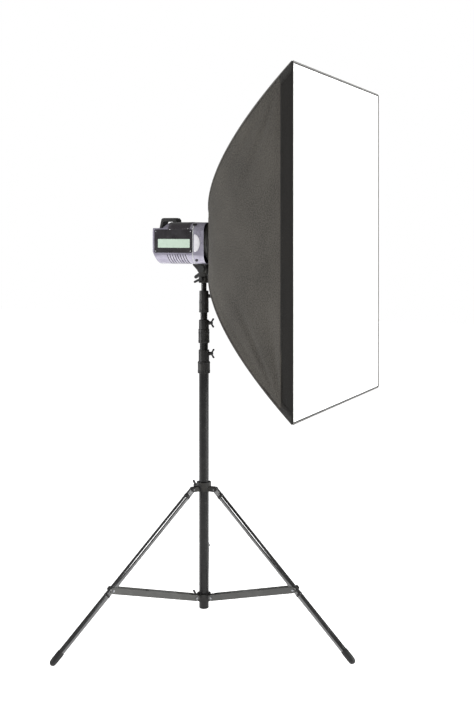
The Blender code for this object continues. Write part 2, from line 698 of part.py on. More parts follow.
def tilt_lever(parent):
    """The bolt through the cheeks with its round head and, on the far side, its lever."""
    outer = CHEEK_IN + CHEEK_T + GAP
    shaft = rod(TILT_BOLT_R, (-outer - 0.001, 0, 0), (outer + 0.001, 0, 0), 12)
    head = rod(0.0125, (-outer - 0.0040, 0, 0), (-outer, 0, 0))
    hub = rod(0.0100, (outer, 0, 0), (outer + 0.0090, 0, 0), 12)
    lean = Matrix.Rotation(radians(-35), 4, "X")
    arm = slab(stadium(0, TILT_ARM_L, 0.0060, 5), 0.0065, lean @ ALONG_X, (outer + 0.0055, 0, 0))
    piece("tilt_lever", combine(shaft, add=[head, hub, arm]), BLACK_PLASTIC, parent)


def spigot_clamp(parent):
    """The small lever whose screw holds the socket on the spigot."""
    face = -(SOCKET_R + 0.003 + GAP)
    screw = rod(KNOB_SCREW_R, (face - 0.001, 0, 0), (-(SPIGOT_R + RUN + 0.001), 0, 0), PIN_SIDES)
    hub = rod(0.0065, (face - 0.0070, 0, 0), (face, 0, 0), 12)
    lean = Matrix.Rotation(radians(-25), 4, "X")
    arm = slab(stadium(0, CLAMP_ARM_L - 0.004, 0.0040, 4), 0.0045, lean @ ALONG_X, (face - 0.0035, 0, 0))
    piece("spigot_clamp_lever", combine(screw, add=[hub, arm]), BLACK_PLASTIC, parent, (0, 0, CLAMP_Z))


# ---------------------------------------------------------------- the flash head
def inset_outline(outline, distance):
    """An anticlockwise outline with every edge moved inwards."""
    result = []
    count = len(outline)
    for index in range(count):
        before, here, after = (Vector(outline[(index + step) % count]) for step in (-1, 0, 1))
        first = (here - before).normalized()
        second = (after - here).normalized()
        sideways = Vector((-first.y - second.y, first.x + second.x))
        result.append(tuple(here + sideways * (distance / (1 + first.dot(second)))))
    return result


def head_solid(inset, front, rear):
    """The housing's outer form moved inwards by a distance, between two planes."""
    loose = 0.02
    chamfer_run = (HEAD_REAR - CHAMFER_Y) / (CHAMFER_Z - HEAD_BOTTOM)
    step_run = (STEP_BACK - STEP_FRONT) / (HEAD_TOP - STEP_Z)
    outline = [
        (HEAD_FRONT - loose, HEAD_BOTTOM - loose),
        (CHAMFER_Y - loose * chamfer_run, HEAD_BOTTOM - loose),
        (HEAD_REAR + loose, CHAMFER_Z + loose / chamfer_run),
        (HEAD_REAR + loose, STEP_Z),
        (STEP_BACK, STEP_Z),
        (STEP_FRONT - loose * step_run, HEAD_TOP + loose),
        (HEAD_FRONT - loose, HEAD_TOP + loose),
    ]
    side = slab(inset_outline(outline, inset), 2 * HEAD_HALF_W + loose, ALONG_X)
    half = HEAD_HALF_W - inset
    section = rounded_rectangle(
        -half, HEAD_BOTTOM + inset, half, HEAD_TOP - inset, HEAD_CORNER - inset
    )
    block = slab(section, rear - front, ALONG_Y, (0, (front + rear) / 2, 0))
    return combine(block, keep=[side])


def cooling_slots():
    """Slanted slots through both lower sides, as cutters."""
    pitch = (SLOT_Y[1] - SLOT_Y[0]) / (SLOT_COUNT - 1)
    slots = []
    for index in range(SLOT_COUNT):
        length = SLOT_Z[1] - SLOT_Z[0]
        blade = box((-0.1, -SLOT_W / 2, -length), (0.1, SLOT_W / 2, 0))
        lean = Matrix.Rotation(SLOT_LEAN, 4, "X")
        slots.append(moved(blade, (0, SLOT_Y[0] + index * pitch, SLOT_Z[1]), lean.inverted()))
    return slots


def housing(parent):
    """The die-cast shell, open at both ends."""
    outside = head_solid(0, HEAD_FRONT, HEAD_REAR)
    inside = head_solid(HEAD_WALL, HEAD_FRONT - 0.01, HEAD_REAR + 0.01)
    floor = box((-0.040, -0.1, HEAD_BOTTOM - 0.02), (0.040, 0.3, 0))
    blades = [combine(blade, cut=[floor]) for blade in cooling_slots()]
    piece("head_housing", combine(outside, cut=[inside, *blades]), SILVER_PAINT, parent)


def side_panels(parent):
    """The dark panel on each side of the housing and the blank label on the left one."""
    outline = rounded_rectangle(PANEL_Y[0], PANEL_Z[0], PANEL_Y[1], PANEL_Z[1], 0.005, 3)
    middle = HEAD_HALF_W + GAP + PANEL_T / 2
    for side, name in ((-1, "left_side_panel"), (1, "right_side_panel")):
        piece(name, slab(outline, PANEL_T, ALONG_X, (side * middle, 0, 0)), DARK_PANEL, parent)
    label = rounded_rectangle(LABEL_Y[0], LABEL_Z[0], LABEL_Y[1], LABEL_Z[1], 0.002, 2)
    outer = HEAD_HALF_W + 2 * GAP + PANEL_T + LABEL_T / 2
    piece("blank_label_plate", slab(label, LABEL_T, ALONG_X, (-outer, 0, 0)), PALE_LABEL, parent)


def carry_handle(parent):
    """The grip over the falling rear of the housing, standing on two feet."""
    top = HEAD_TOP + GAP
    step = STEP_Z + GAP
    under = GRIP_TOP - GRIP_T
    outline = [
        (GRIP_Y[0], top), (GRIP_Y[0] + 0.002, GRIP_TOP - 0.006), (GRIP_Y[0] + 0.008, GRIP_TOP),
        (GRIP_Y[1] - 0.005, GRIP_TOP), (GRIP_Y[1], GRIP_TOP - 0.003), (HEAD_REAR - 0.001, step),
        (HEAD_REAR - 0.011, step), (GRIP_Y[1] - 0.009, under), (STEP_FRONT + 0.005, under),
        (STEP_FRONT - 0.001, top),
    ]
    piece("carry_handle", slab(outline, 2 * GRIP_HALF_W, ALONG_X), BLACK_PLASTIC, parent)


def release_catch(parent):
    """The sliding catch on the upper left corner that frees the softbox's bayonet."""
    centre = Vector((-(HEAD_HALF_W - HEAD_CORNER), 0.006, HEAD_TOP - HEAD_CORNER))
    lean = Matrix.Rotation(radians(-45), 4, "Y")
    low = HEAD_CORNER + GAP
    body = box((-0.0045, -0.0065, low), (0.0045, 0.0065, low + 0.0035), 0.0008)
    piece("release_catch", moved(body, turn=lean), BLACK_PLASTIC, parent, centre)


def light_source(parent):
    """Everything in front of the housing: bayonet ring, lamp plate, lamp, flash tube and dome.

    Turned pieces here are measured forwards, along -Y, from the tilt axis's plane.
    """
    front = -HEAD_FRONT + GAP
    bayonet = turned(
        ((BAYONET_R - 0.0015, front + BAYONET_L), (BAYONET_R, front + BAYONET_L - 0.0015),
         (BAYONET_R, front + 0.0015), (BAYONET_R - 0.0015, front), (BAYONET_BORE, front),
         (BAYONET_BORE, front + BAYONET_L)),
        24, closed=True,
    )
    piece("bayonet_ring", moved(bayonet, turn=ALONG_Y), BLACK_CASTING, parent)
    plate_face = front + LAMP_PLATE_T
    lamp_r = 0.0090
    plate = ring(BAYONET_BORE - GAP, lamp_r + RUN, front, plate_face, 24)
    tube_ends = (radians(-60), radians(240))
    holes = []
    for angle in tube_ends:
        place = Vector((FLASH_RING_R * cos(angle), FLASH_RING_R * sin(angle), 0))
        ends = (place + Vector((0, 0, front - 0.01)), place + Vector((0, 0, plate_face + 0.01)))
        holes.append(rod(FLASH_TUBE_R + RUN, *ends, PIN_SIDES))
    base = front - 0.014
    cup_r = lamp_r + 0.004
    holder = turned(
        ((0, base - GAP), (lamp_r + RUN, base - GAP), (lamp_r + RUN, front + 0.001), (cup_r, front + 0.001),
         (cup_r, base - 0.004), (0, base - 0.004)),
        12,
    )
    piece("lamp_plate", moved(combine(plate, add=[holder], cut=holes), turn=ALONG_Y), PALE_PLASTIC, parent)
    flash_tube(parent, front, plate_face, tube_ends)
    modelling_lamp(parent, base, plate_face, lamp_r)
    glass_dome(parent, plate_face + GAP)


def flash_tube(parent, front, plate_face, ends):
    """A glass ring round the modelling lamp whose two legs pass through the lamp plate."""
    level = plate_face + 0.020
    steps = 14
    angles = [ends[0] + (ends[1] - ends[0]) * step / steps for step in range(steps + 1)]
    points = [(FLASH_RING_R * cos(angle), FLASH_RING_R * sin(angle), level) for angle in angles]
    for index, end in ((0, 0), (len(points) + 1, -1)):
        x, y, _ = points[end]
        points.insert(index, (x, y, front - 0.006))
    piece("flash_tube", moved(wire(points, FLASH_TUBE_R), turn=ALONG_Y), CLEAR_GLASS, parent)


def modelling_lamp(parent, base, plate_face, lamp_r):
    """The lamp, standing in the cup behind the plate."""
    neck = plate_face + 0.006
    belly = neck + 0.024
    bulb = [(u, v + belly) for u, v in arc(0, 0, BULB_R, 90, -45, 5)]
    lamp = turned([(0, bulb[0][1]), *bulb[1:], (lamp_r, neck), (lamp_r, base), (0, base)], 12)
    piece("modelling_lamp", moved(lamp, turn=ALONG_Y), CLEAR_GLASS, parent)


def glass_dome(parent, base):
    """The round-ended glass cover, open at the back."""
    shoulder = base + DOME_L - DOME_R
    outer = [(u, v + shoulder) for u, v in arc(0, 0, DOME_R, 90, 0, 4)]
    inner = [(u, v + shoulder) for u, v in arc(0, 0, DOME_R - DOME_WALL, 0, 90, 4)]
    rim = [(DOME_R, base), (DOME_R - DOME_WALL, base)]
    profile = [(0, outer[0][1]), *outer[1:], *rim, *inner[:-1], (0, inner[-1][1])]
    piece("glass_dome", moved(turned(profile, 16), turn=ALONG_Y), CLEAR_GLASS, parent)


def electronics(parent):
    """Capacitors, circuit board and fan inside the housing."""
    for number, side in enumerate((-1, 1), 1):
        place = (side * (CAPACITOR_R + 0.008), -0.040)
        start, end = ((place[0], y, place[1]) for y in (0.035, 0.035 + CAPACITOR_L))
        piece(f"capacitor_{number}", rod(CAPACITOR_R, start, end, 20), CAPACITOR_BLUE, parent)
    piece("circuit_board", box((-0.055, 0.020, 0), (0.055, 0.124, BOARD_T)), BOARD_GREEN, parent)
    fan(parent, (0, REAR_PANEL_Y - 0.025, -0.008))


def fan(parent, centre):
    """A square frame with a spider at the back, and a five-bladed rotor."""
    half = FAN_SIZE / 2
    depth = FAN_DEPTH / 2
    frame = box((-half, -depth, -half), (half, depth, half))
    bore = rod(FAN_BORE, (0, -depth - 0.01, 0), (0, depth + 0.01, 0))
    spider = depth - 0.003
    bars = [
        box((-FAN_BORE - 0.001, spider, -0.0025), (FAN_BORE + 0.001, depth - 0.0002, 0.0025)),
        box((-0.0025, spider, -FAN_BORE - 0.001), (0.0025, depth - 0.0002, FAN_BORE + 0.001)),
    ]
    hollow = combine(frame, cut=[bore])
    piece("fan_frame", combine(hollow, add=bars), BLACK_PLASTIC, parent, centre)
    hub = rod(0.0110, (0, -depth + 0.001, 0), (0, spider - 0.001, 0), 16)
    blades = []
    for index in range(5):
        blade = box((0.008, -0.0008, -0.0060), (FAN_BORE - 0.0035, 0.0008, 0.0060))
        pitch = Matrix.Rotation(radians(35), 4, "X")
        blades.append(moved(blade, turn=Matrix.Rotation(radians(72 * index), 4, "Y") @ pitch))
    piece("fan_rotor", combine(hub, add=blades), BLACK_PLASTIC, parent, centre)


CONTROLS = {                            # centre x, centre z, half width, half height
    "display_window": (-0.027, 0.022, 0.023, 0.011),
    "power_switch": (0.030, -0.0235, 0.0065, 0.0095),
    "mains_inlet": (-0.022, -0.0235, 0.0140, 0.0105),
}
DIAL_PLACE = (0.030, 0.020)
BUTTON_PLACES = ((-0.042, -0.002), (-0.027, -0.002), (-0.012, -0.002))


def control_block(name, front, rear, bevel=0.0):
    """A rectangular control's block between two planes."""
    x, z, half_w, half_h = CONTROLS[name]
    return box((x - half_w, front, z - half_h), (x + half_w, rear, z + half_h), bevel)


def rear_panel(parent):
    """The recessed rear panel, with a hole for each control."""
    face = REAR_PANEL_Y + REAR_PANEL_T
    plate = head_solid(HEAD_WALL + GAP, REAR_PANEL_Y, face)
    holes = []
    front = REAR_PANEL_Y - REAR_PANEL_T
    back = face + REAR_PANEL_T
    for x, z, half_w, half_h in CONTROLS.values():
        wide = half_w + GAP
        high = half_h + GAP
        holes.append(box((x - wide, front, z - high), (x + wide, back, z + high)))
    for x, z in BUTTON_PLACES:
        holes.append(rod(BUTTON_R + GAP, (x, front, z), (x, back, z), 16))
    x, z = DIAL_PLACE
    holes.append(rod(KNOB_SCREW_R + GAP, (x, front, z), (x, back, z), 12))
    piece("rear_panel", combine(plate, cut=holes), DARK_PANEL, parent)


def rear_controls(parent):
    """Display, dial, buttons, rocker switch and mains inlet."""
    back = REAR_PANEL_Y - 0.004
    face = REAR_PANEL_Y + REAR_PANEL_T
    piece("display_window", control_block("display_window", back, face + 0.0008), SCREEN_RED, parent)
    x, z, _, half_h = CONTROLS["power_switch"]
    rocker = moved(control_block("power_switch", back, face + 0.0020), (-x, -face, -z))
    piece("power_switch", rocker, BLACK_PLASTIC, parent, (x, face, z))
    x, z, half_w, half_h = CONTROLS["mains_inlet"]
    block = control_block("mains_inlet", face - INLET_DEPTH, face + INLET_RIM)
    wide = half_w - INLET_WALL
    high = half_h - INLET_WALL
    cavity = box((x - wide, face - INLET_CAVITY, z - high), (x + wide, HEAD_REAR, z + high))
    piece("mains_inlet", combine(block, cut=[cavity]), BLACK_PLASTIC, parent)
    for number, (x, z) in enumerate(BUTTON_PLACES, 1):
        button = rod(BUTTON_R, (0, back - face, 0), (0, 0.0025, 0), 16)
        piece(f"button_{number}", button, PALE_PLASTIC, parent, (x, face, z))
    dial = rod(DIAL_R, (0, GAP, 0), (0, 0.0090, 0), 20)
    shaft = rod(KNOB_SCREW_R, (0, back - face, 0), (0, 0.0020, 0), 12)
    x, z = DIAL_PLACE
    piece("power_dial", combine(dial, add=[shaft]), BLACK_PLASTIC, parent, (x, face, z))


# ---------------------------------------------------------------- the softbox
def bow(radius):
    """How far the fabric's corner line has run forward at a radius from the optical axis."""
    if radius <= ROD_STRAIGHT:
        return 0.0
    return SKIN_DEPTH * ((radius - ROD_STRAIGHT) / (CORNER_R - ROD_STRAIGHT)) ** ROD_BOW


def corner_radius_at(y):
    """The radius of the fabric's corner line where it crosses a plane."""
    share = (SKIN_BACK - y) / SKIN_DEPTH
    return ROD_STRAIGHT + (CORNER_R - ROD_STRAIGHT) * share ** (1 / ROD_BOW)


def speed_ring(parent):
    """The cast ring with its bayonet nose and four rod sockets."""
    back = -RING_BACK
    face = back + RING_T
    nose = back - RING_NOSE_L
    body = turned(
        ((RING_R, face), (RING_R, back), (RING_NOSE_R, back), (RING_NOSE_R, nose), (RING_BORE, nose),
         (RING_BORE, face)),
        24, closed=True,
    )
    body = moved(body, turn=ALONG_Y)
    sockets = []
    holes = []
    for side_x in (-1, 1):
        for side_z in (-1, 1):
            reach = Vector((side_x * CORNER_X, 0, side_z * CORNER_Z))
            middle = Vector((0, ROD_PLANE, 0))
            root = middle + reach * (RING_BORE + SOCKET_TUBE_R)
            sockets.append(rod(SOCKET_TUBE_R, root, middle + reach * SOCKET_TUBE_END, 10))
            mouth = middle + reach * (SOCKET_TUBE_END + ROD_R)
            holes.append(rod(ROD_R + RUN, middle + reach * (RING_R - ROD_SEAT), mouth, 10))
    piece("speed_ring", combine(body, add=sockets, cut=holes), CAST_ALUMINIUM, parent)


def rods(parent):
    """Four spring-steel rods, straight out of the ring and then bowing forward."""
    start = RING_R - ROD_SEAT + GAP
    end = CORNER_R - ROD_SHY
    steps = 9
    profile = [(start, ROD_PLANE), (SOCKET_TUBE_END + 0.004, ROD_PLANE)]
    for step in range(1, steps + 1):
        radius = ROD_STRAIGHT + (end - ROD_STRAIGHT) * step / steps
        slope = (bow(radius + 0.0005) - bow(radius - 0.0005)) / 0.001
        length = hypot(1, slope)
        profile.append((radius - ROD_INSET * slope / length, SKIN_BACK - bow(radius) - ROD_INSET / length))
    number = 0
    for side_x in (-1, 1):
        for side_z in (-1, 1):
            number += 1
            points = [(side_x * CORNER_X * radius, y, side_z * CORNER_Z * radius) for radius, y in profile]
            piece(f"rod_{number}", wire(points, ROD_R), SPRING_STEEL, parent)


def square_loop(steps):
    """Points (u, v) round the edge of a square from -1 to 1, in order."""
    side = [-1 + 2 * step / steps for step in range(steps)]
    return (
        [(u, -1) for u in side] + [(1, v) for v in side]
        + [(-u, 1) for u in side] + [(-1, -v) for v in side]
    )


def skin_surface():
    """The open fabric surface: a round rear hem, then rectangles between the four rods."""
    loop = square_loop(SKIN_SIDE_STEPS)
    hem = []
    for u, v in loop:
        reach = Vector((u, v)).normalized() * HEM_R
        hem.append((reach.x, SKIN_BACK, reach.y))
    loops = [hem]
    for station in range(SKIN_STATIONS):
        radius = PANEL_START + (CORNER_R - PANEL_START) * station / (SKIN_STATIONS - 1)
        y = SKIN_BACK - bow(radius)
        loops.append([(u * CORNER_X * radius, y, v * CORNER_Z * radius) for u, v in loop])
    count = len(loop)
    faces = []
    for level in range(len(loops) - 1):
        for index in range(count):
            after = (index + 1) % count
            faces.append((level * count + index, level * count + after,
                          (level + 1) * count + after, (level + 1) * count + index))
    mesh = bpy.data.meshes.new("skin")
    mesh.from_pydata([point for points in loops for point in points], [], faces)
    return mesh


def fabric_shell(parent):
    """The four fabric panels as one thin shell."""
    body = scratch(skin_surface())
    thicken = body.modifiers.new("solidify", "SOLIDIFY")
    thicken.thickness = SKIN_T
    thicken.offset = -1
    thicken.use_even_offset = True
    piece("fabric_shell", evaluated(body), DARK_FABRIC, parent)


def diffusers(parent):
    """The front diffuser inside the front edge, and the smaller one further in."""
    front = BOX_FRONT + DIFFUSER_RECESS
    half_w = BOX_HALF_W - DIFFUSER_MARGIN
    half_h = BOX_HALF_H - DIFFUSER_MARGIN
    sheet = box((-half_w, front, -half_h), (half_w, front + DIFFUSER_T, half_h))
    piece("front_diffuser", sheet, WHITE_FABRIC, parent)
    radius = corner_radius_at(INNER_DIFFUSER_Y)
    half_w = CORNER_X * radius - INNER_DIFFUSER_MARGIN
    half_h = CORNER_Z * radius - INNER_DIFFUSER_MARGIN
    inner = box((-half_w, INNER_DIFFUSER_Y, -half_h), (half_w, INNER_DIFFUSER_Y + DIFFUSER_T, half_h))
    piece("inner_diffuser", inner, WHITE_FABRIC, parent)


# ---------------------------------------------------------------- assembly
def build_bracket_and_head(stand):
    """The bracket on the spigot, the head on its tilt pivot; returns the optical axis."""
    bracket = pivot("bracket_axis", stand, (0, 0, AXIS_Z))
    stand_socket(bracket)
    spigot_clamp(bracket)
    tilt = pivot("tilt_axis", bracket, (0, 0, -TILT_DROP))
    tilt_lever(tilt)
    optical = pivot("optical_axis", tilt, (0, 0, TILT_DROP))
    head_mount(optical)
    housing(optical)
    side_panels(optical)
    carry_handle(optical)
    release_catch(optical)
    light_source(optical)
    electronics(optical)
    rear_panel(optical)
    rear_controls(optical)
    return optical


def build_softbox(optical):
    """The speed ring, rods, fabric and diffusers, all turning about the optical axis."""
    spin = pivot("softbox_axis", optical, (0, 0, 0))
    speed_ring(spin)
    rods(spin)
    fabric_shell(spin)
    diffusers(spin)


build_softbox(build_bracket_and_head(build_stand()))
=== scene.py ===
"""Looks of a studio softbox on a flash head and a light stand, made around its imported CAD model."""

import json
from math import atan2, cos, hypot, pi, radians, sin

import bmesh
import bpy
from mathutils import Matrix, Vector, noise as field


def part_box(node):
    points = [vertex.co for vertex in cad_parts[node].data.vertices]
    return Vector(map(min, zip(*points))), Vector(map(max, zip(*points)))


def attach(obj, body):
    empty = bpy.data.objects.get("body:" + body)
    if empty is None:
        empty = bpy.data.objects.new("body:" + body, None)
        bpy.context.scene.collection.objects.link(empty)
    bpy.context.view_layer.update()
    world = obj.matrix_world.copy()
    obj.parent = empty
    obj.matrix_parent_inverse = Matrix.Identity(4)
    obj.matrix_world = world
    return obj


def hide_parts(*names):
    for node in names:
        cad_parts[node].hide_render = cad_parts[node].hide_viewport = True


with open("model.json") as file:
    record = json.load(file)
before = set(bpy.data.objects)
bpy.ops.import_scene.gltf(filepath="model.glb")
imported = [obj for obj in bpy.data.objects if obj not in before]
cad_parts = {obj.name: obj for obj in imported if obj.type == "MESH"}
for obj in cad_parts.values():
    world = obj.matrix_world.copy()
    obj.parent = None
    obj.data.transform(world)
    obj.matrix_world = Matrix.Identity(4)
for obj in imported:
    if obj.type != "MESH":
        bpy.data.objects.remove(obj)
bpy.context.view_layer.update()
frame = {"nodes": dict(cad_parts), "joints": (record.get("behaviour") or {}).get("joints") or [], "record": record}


# ---------------------------------------------------------------- places read from the CAD model
def middle(node):
    """The centre of a CAD node's box."""
    low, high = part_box(node)
    return (low + high) / 2


COLUMN = middle("base_tube")
RING = middle("bayonet_ring")
AXIS = Vector((RING.x, COLUMN.y, RING.z))       # where the optical axis crosses the column's line
SHELL_LOW, SHELL_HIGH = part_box("fabric_shell")
HALF_W = (SHELL_HIGH.x - SHELL_LOW.x) / 2
HALF_H = (SHELL_HIGH.z - SHELL_LOW.z) / 2
FRONT = SHELL_LOW.y - AXIS.y
BACK = SHELL_HIGH.y - AXIS.y
CORNER_R = hypot(HALF_W, HALF_H)
CORNER_X = HALF_W / CORNER_R
CORNER_Z = HALF_H / CORNER_R

# ---------------------------------------------------------------- sizes of the fabric work
ROD_STRAIGHT = 0.120            # the rods start to bow at this distance from the optical axis
ROD_BOW = 1.48
PANEL_START = 0.135             # the four panels begin here
HEM_R = 0.079
BAND_W = 0.050                  # the black band at the front
BAND_LAP = 0.004                # the panels run this far under the band
CLOTH_T = 0.0008
SIDE_STEPS = 64
RUN_STEPS = 56
BINDING_W = 0.006
# Radius of the thin light-grey tube along each corner line: a painted highlight standing in for the rim reflection
# along the rods
CORNER_HIGHLIGHT_R = 0.0016
FRONT_PIPING_R = 0.0021
HEM_CORD_R = 0.0024             # the elastic cord in the rear hem
POCKET_W = 0.034                # of the webbing pocket at each rod's end, along each panel
STITCH_PITCH = 0.0055
STITCH_L = 0.0036
STITCH_R = 0.00035

# ---------------------------------------------------------------- sizes of the head's and stand's fittings
HOUSING_CORNER = 0.032
SEAM_Y = 0.0105
INSERT_Y = 0.0042               # straight side of the pale D-shaped insert
INSERT_Z = -0.0055
INSERT_HALF = 0.0315
INSERT_DEPTH = 0.0222
LEG_LENGTH = 0.736              # from a leg's hinge to the middle of its foot ball
FOOT_CENTRE = 0.0105            # height of the foot ball's middle
FOOT_R = 0.0122                 # the foot's sleeve
FOOT_PROFILE = [                # radius, and distance from the leg's hinge
    (0.0112, 0.6930), (FOOT_R, 0.6945), (FOOT_R, 0.7270), (0.0118, 0.7340),
    (0.0100, 0.7400), (0.0066, 0.7440), (0.0005, 0.7462),
]
LEG_R = 0.0110
HUB_R = 0.0060                  # inside the hub of a wing knob
FILM_T = 0.0004
FILM_LIFT = 0.0006              # of the smoked film's outside above the housing
FILM_START = radians(9)         # how far round the housing's corner the film begins
FILM_Y = (0.0235, 0.1100)       # behind the release catch's travel
VENT_SHADE_GAP = 0.0010              # from the housing's outside to the black sheet of painted shade in the vent slots
VENT_SHADE_Y = (0.026, 0.130)
VENT_SHADE_TOP = -0.041
PIN_DEPTH = 0.0001
PIN_SPLIT = 0.1                 # pins further than this from a hinge belong to the other end

# ---------------------------------------------------------------- camera, light and floor
VIEW_FROM = Vector((-3.5957, -1.7121, 1.430))
VIEW_TURN = radians(-66.24)
LENS = 56.32
SHIFT_Y = -0.1702
ROOM_LIGHT = 0.24               # how strongly the pale room lights the object
ROOM_SEEN = 1.0
FLOOR_GLOW = 0.82


def camera():
    """The camera at the picture's viewing angle."""
    data = bpy.data.cameras.new("camera")
    data.lens = LENS
    data.shift_y = SHIFT_Y
    data.clip_end = 60
    made = bpy.data.objects.new("camera", data)
    made.location = Vector((COLUMN.x, COLUMN.y, 0)) + VIEW_FROM
    made.rotation_euler = (radians(90), 0, VIEW_TURN)
    bpy.context.scene.collection.objects.link(made)
    bpy.context.scene.camera = made


def area_light(name, place, target, size, power):
    """A square soft light that faces a target."""
    data = bpy.data.lights.new(name, "AREA")
    data.size = size
    data.energy = power
    made = bpy.data.objects.new(name, data)
    made.location = place
    made.rotation_euler = (Vector(target) - Vector(place)).to_track_quat("-Z", "Y").to_euler()
    bpy.context.scene.collection.objects.link(made)


def studio():
    """A pale floor, a pale room and three soft lights."""
    world = bpy.data.worlds.new("room")
    world.use_nodes = True
    tree = world.node_tree
    sky = tree.nodes["Background"]
    sky.inputs["Color"].default_value = (1, 1, 1, 1)
    seen = tree.nodes.new("ShaderNodeLightPath").outputs["Is Camera Ray"]
    level = tree.nodes.new("ShaderNodeMapRange")
    level.inputs["To Min"].default_value = ROOM_LIGHT
    level.inputs["To Max"].default_value = ROOM_SEEN
    tree.links.new(seen, level.inputs["Value"])
    tree.links.new(level.outputs[0], sky.inputs["Strength"])
    bpy.context.scene.world = world
    bpy.context.scene.view_settings.view_transform = "Standard"
    area_light("key", (-3.4, -1.2, 3.2), (0, 0, 1.1), 1.0, 50)
    area_light("side", (-1.9, 3.2, 1.4), (0, 0, 1.0), 0.7, 78)
    area_light("front", (0.8, -4.0, 1.9), (0, -0.4, 1.4), 2.6, 260)
    mesh = bpy.data.meshes.new("floor")
    reach = 14
    corners = [(-reach, -reach, 0), (reach, -reach, 0), (reach, reach, 0), (-reach, reach, 0)]
    mesh.from_pydata(corners, [], [(0, 1, 2, 3)])
    floor = bpy.data.objects.new("floor", mesh)
    bpy.context.scene.collection.objects.link(floor)
    pale = bpy.data.materials.new("pale_floor")
    pale.use_nodes = True
    paint = pale.node_tree.nodes["Principled BSDF"]
    paint.inputs["Base Color"].default_value = (0.94, 0.94, 0.94, 1)
    paint.inputs["Roughness"].default_value = 0.9
    paint.inputs["Emission Color"].default_value = (1, 1, 1, 1)
    paint.inputs["Emission Strength"].default_value = FLOOR_GLOW
    mesh.materials.append(pale)


# ---------------------------------------------------------------- materials
def colour(code):
    """Linear red, green and blue from a six-figure colour code."""
    parts = [int(code[at:at + 2], 16) / 255 for at in (0, 2, 4)]
    return tuple(part / 12.92 if part <= 0.04045 else ((part + 0.055) / 1.055) ** 2.4 for part in parts)


class Finish:
    """A node material built up in steps."""

    def __init__(self, name, base, roughness, **values):
        self.material = bpy.data.materials.new(name)
        self.material.use_nodes = True
        self.tree = self.material.node_tree
        self.surface = self.tree.nodes["Principled BSDF"]
        self.set("Base Color", (*colour(base), 1))
        self.set("Roughness", roughness)
        for key, value in values.items():
            self.set(key.replace("_", " "), value)

    def set(self, key, value):
        self.surface.inputs[key].default_value = value

    def node(self, kind, inputs=(), **settings):
        """Adds a node; a socket among the inputs is linked, and a number is set."""
        made = self.tree.nodes.new(kind)
        for key, value in settings.items():
            setattr(made, key, value)
        for key, value in dict(inputs).items():
            if isinstance(value, bpy.types.NodeSocket):
                self.tree.links.new(value, made.inputs[key])
            else:
                made.inputs[key].default_value = value
        return made

    def link(self, socket, key):
        self.tree.links.new(socket, self.surface.inputs[key])

    def place(self, stretch=(1, 1, 1), source="Object"):
        """Texture coordinates, stretched along each axis."""
        where = self.node("ShaderNodeTexCoord").outputs[source]
        return self.node("ShaderNodeMapping", {"Vector": where, "Scale": stretch}).outputs[0]

    def noise(self, scale, detail=3.0, stretch=(1, 1, 1), source="Object"):
        inputs = {"Vector": self.place(stretch, source), "Scale": scale, "Detail": detail}
        return self.node("ShaderNodeTexNoise", inputs).outputs[0]

    def spread(self, value, low, high, to_low=0.0, to_high=1.0):
        inputs = {"Value": value, "From Min": low, "From Max": high, "To Min": to_low, "To Max": to_high}
        return self.node("ShaderNodeMapRange", inputs).outputs[0]

    def math(self, operation, first, second):
        return self.node("ShaderNodeMath", {0: first, 1: second}, operation=operation).outputs[0]

    def mix(self, share, first, second):
        """A colour between two; each is a code or a colour socket."""
        ends = [(*colour(end), 1) if isinstance(end, str) else end for end in (first, second)]
        return self.node("ShaderNodeMix", {0: share, 6: ends[0], 7: ends[1]}, data_type="RGBA").outputs[2]

    def bump(self, height, depth, strength=1.0):
        """Adds relief of a depth in metres on top of any earlier relief."""
        inputs = {"Height": height, "Distance": depth, "Strength": strength}
        before = self.surface.inputs["Normal"].links
        if before:
            inputs["Normal"] = before[0].from_socket
        self.link(self.node("ShaderNodeBump", inputs).outputs[0], "Normal")

    def edge(self, low=0.53, high=0.60):
        """One along sharp outer edges, nought elsewhere."""
        sharp = self.node("ShaderNodeNewGeometry").outputs["Pointiness"]
        return self.spread(sharp, low, high)


def painted(name, base, worn, roughness, grain=900, depth=0.00008, metallic=0.0, coat=0.0, gloss=0.5):
    """Paint or anodising with fine grain, uneven gloss, a little dust and rubbed edges."""
    values = {"Metallic": metallic, "Coat_Weight": coat, "Coat_Roughness": 0.12, "Specular_IOR_Level": gloss}
    made = Finish(name, base, roughness, **values)
    patches = made.spread(made.noise(11, 5), 0.50, 0.75)
    dusty = made.mix(made.math("MULTIPLY", patches, 0.16), base, worn)
    rubbed = made.math("MULTIPLY", made.edge(), made.spread(made.noise(60, 4), 0.42, 0.62))
    made.link(made.mix(rubbed, dusty, worn), "Base Color")
    made.link(made.spread(made.noise(24, 5), 0.3, 0.7, roughness - 0.07, roughness + 0.10), "Roughness")
    made.bump(made.noise(grain, 2), depth)
    return made


def moulded(name, base, worn, roughness, grain=1400, depth=0.00010, gloss=0.4):
    """Moulded plastic or rubber with a spark-eroded grain."""
    made = Finish(name, base, roughness, Specular_IOR_Level=gloss)
    cells = made.node("ShaderNodeTexVoronoi", {"Vector": made.place(), "Scale": grain}).outputs["Distance"]
    scuffs = made.spread(made.noise(70, 6), 0.52, 0.75)
    made.link(made.mix(made.math("MULTIPLY", scuffs, 0.35), base, worn), "Base Color")
    made.link(made.spread(made.noise(30, 4), 0.3, 0.7, roughness - 0.06, roughness + 0.08), "Roughness")
    made.bump(cells, depth)
    return made


def brushed(name, base, roughness, stretch):
    """Bright metal with fine lines along its length."""
    made = Finish(name, base, roughness, Metallic=1.0)
    lines = made.noise(120, 4, stretch)
    made.link(made.spread(lines, 0.3, 0.7, roughness - 0.08, roughness + 0.14), "Roughness")
    made.link(made.mix(made.spread(made.noise(14, 4), 0.4, 0.7), base, "8f9093"), "Base Color")
    made.bump(lines, 0.00003)
    return made


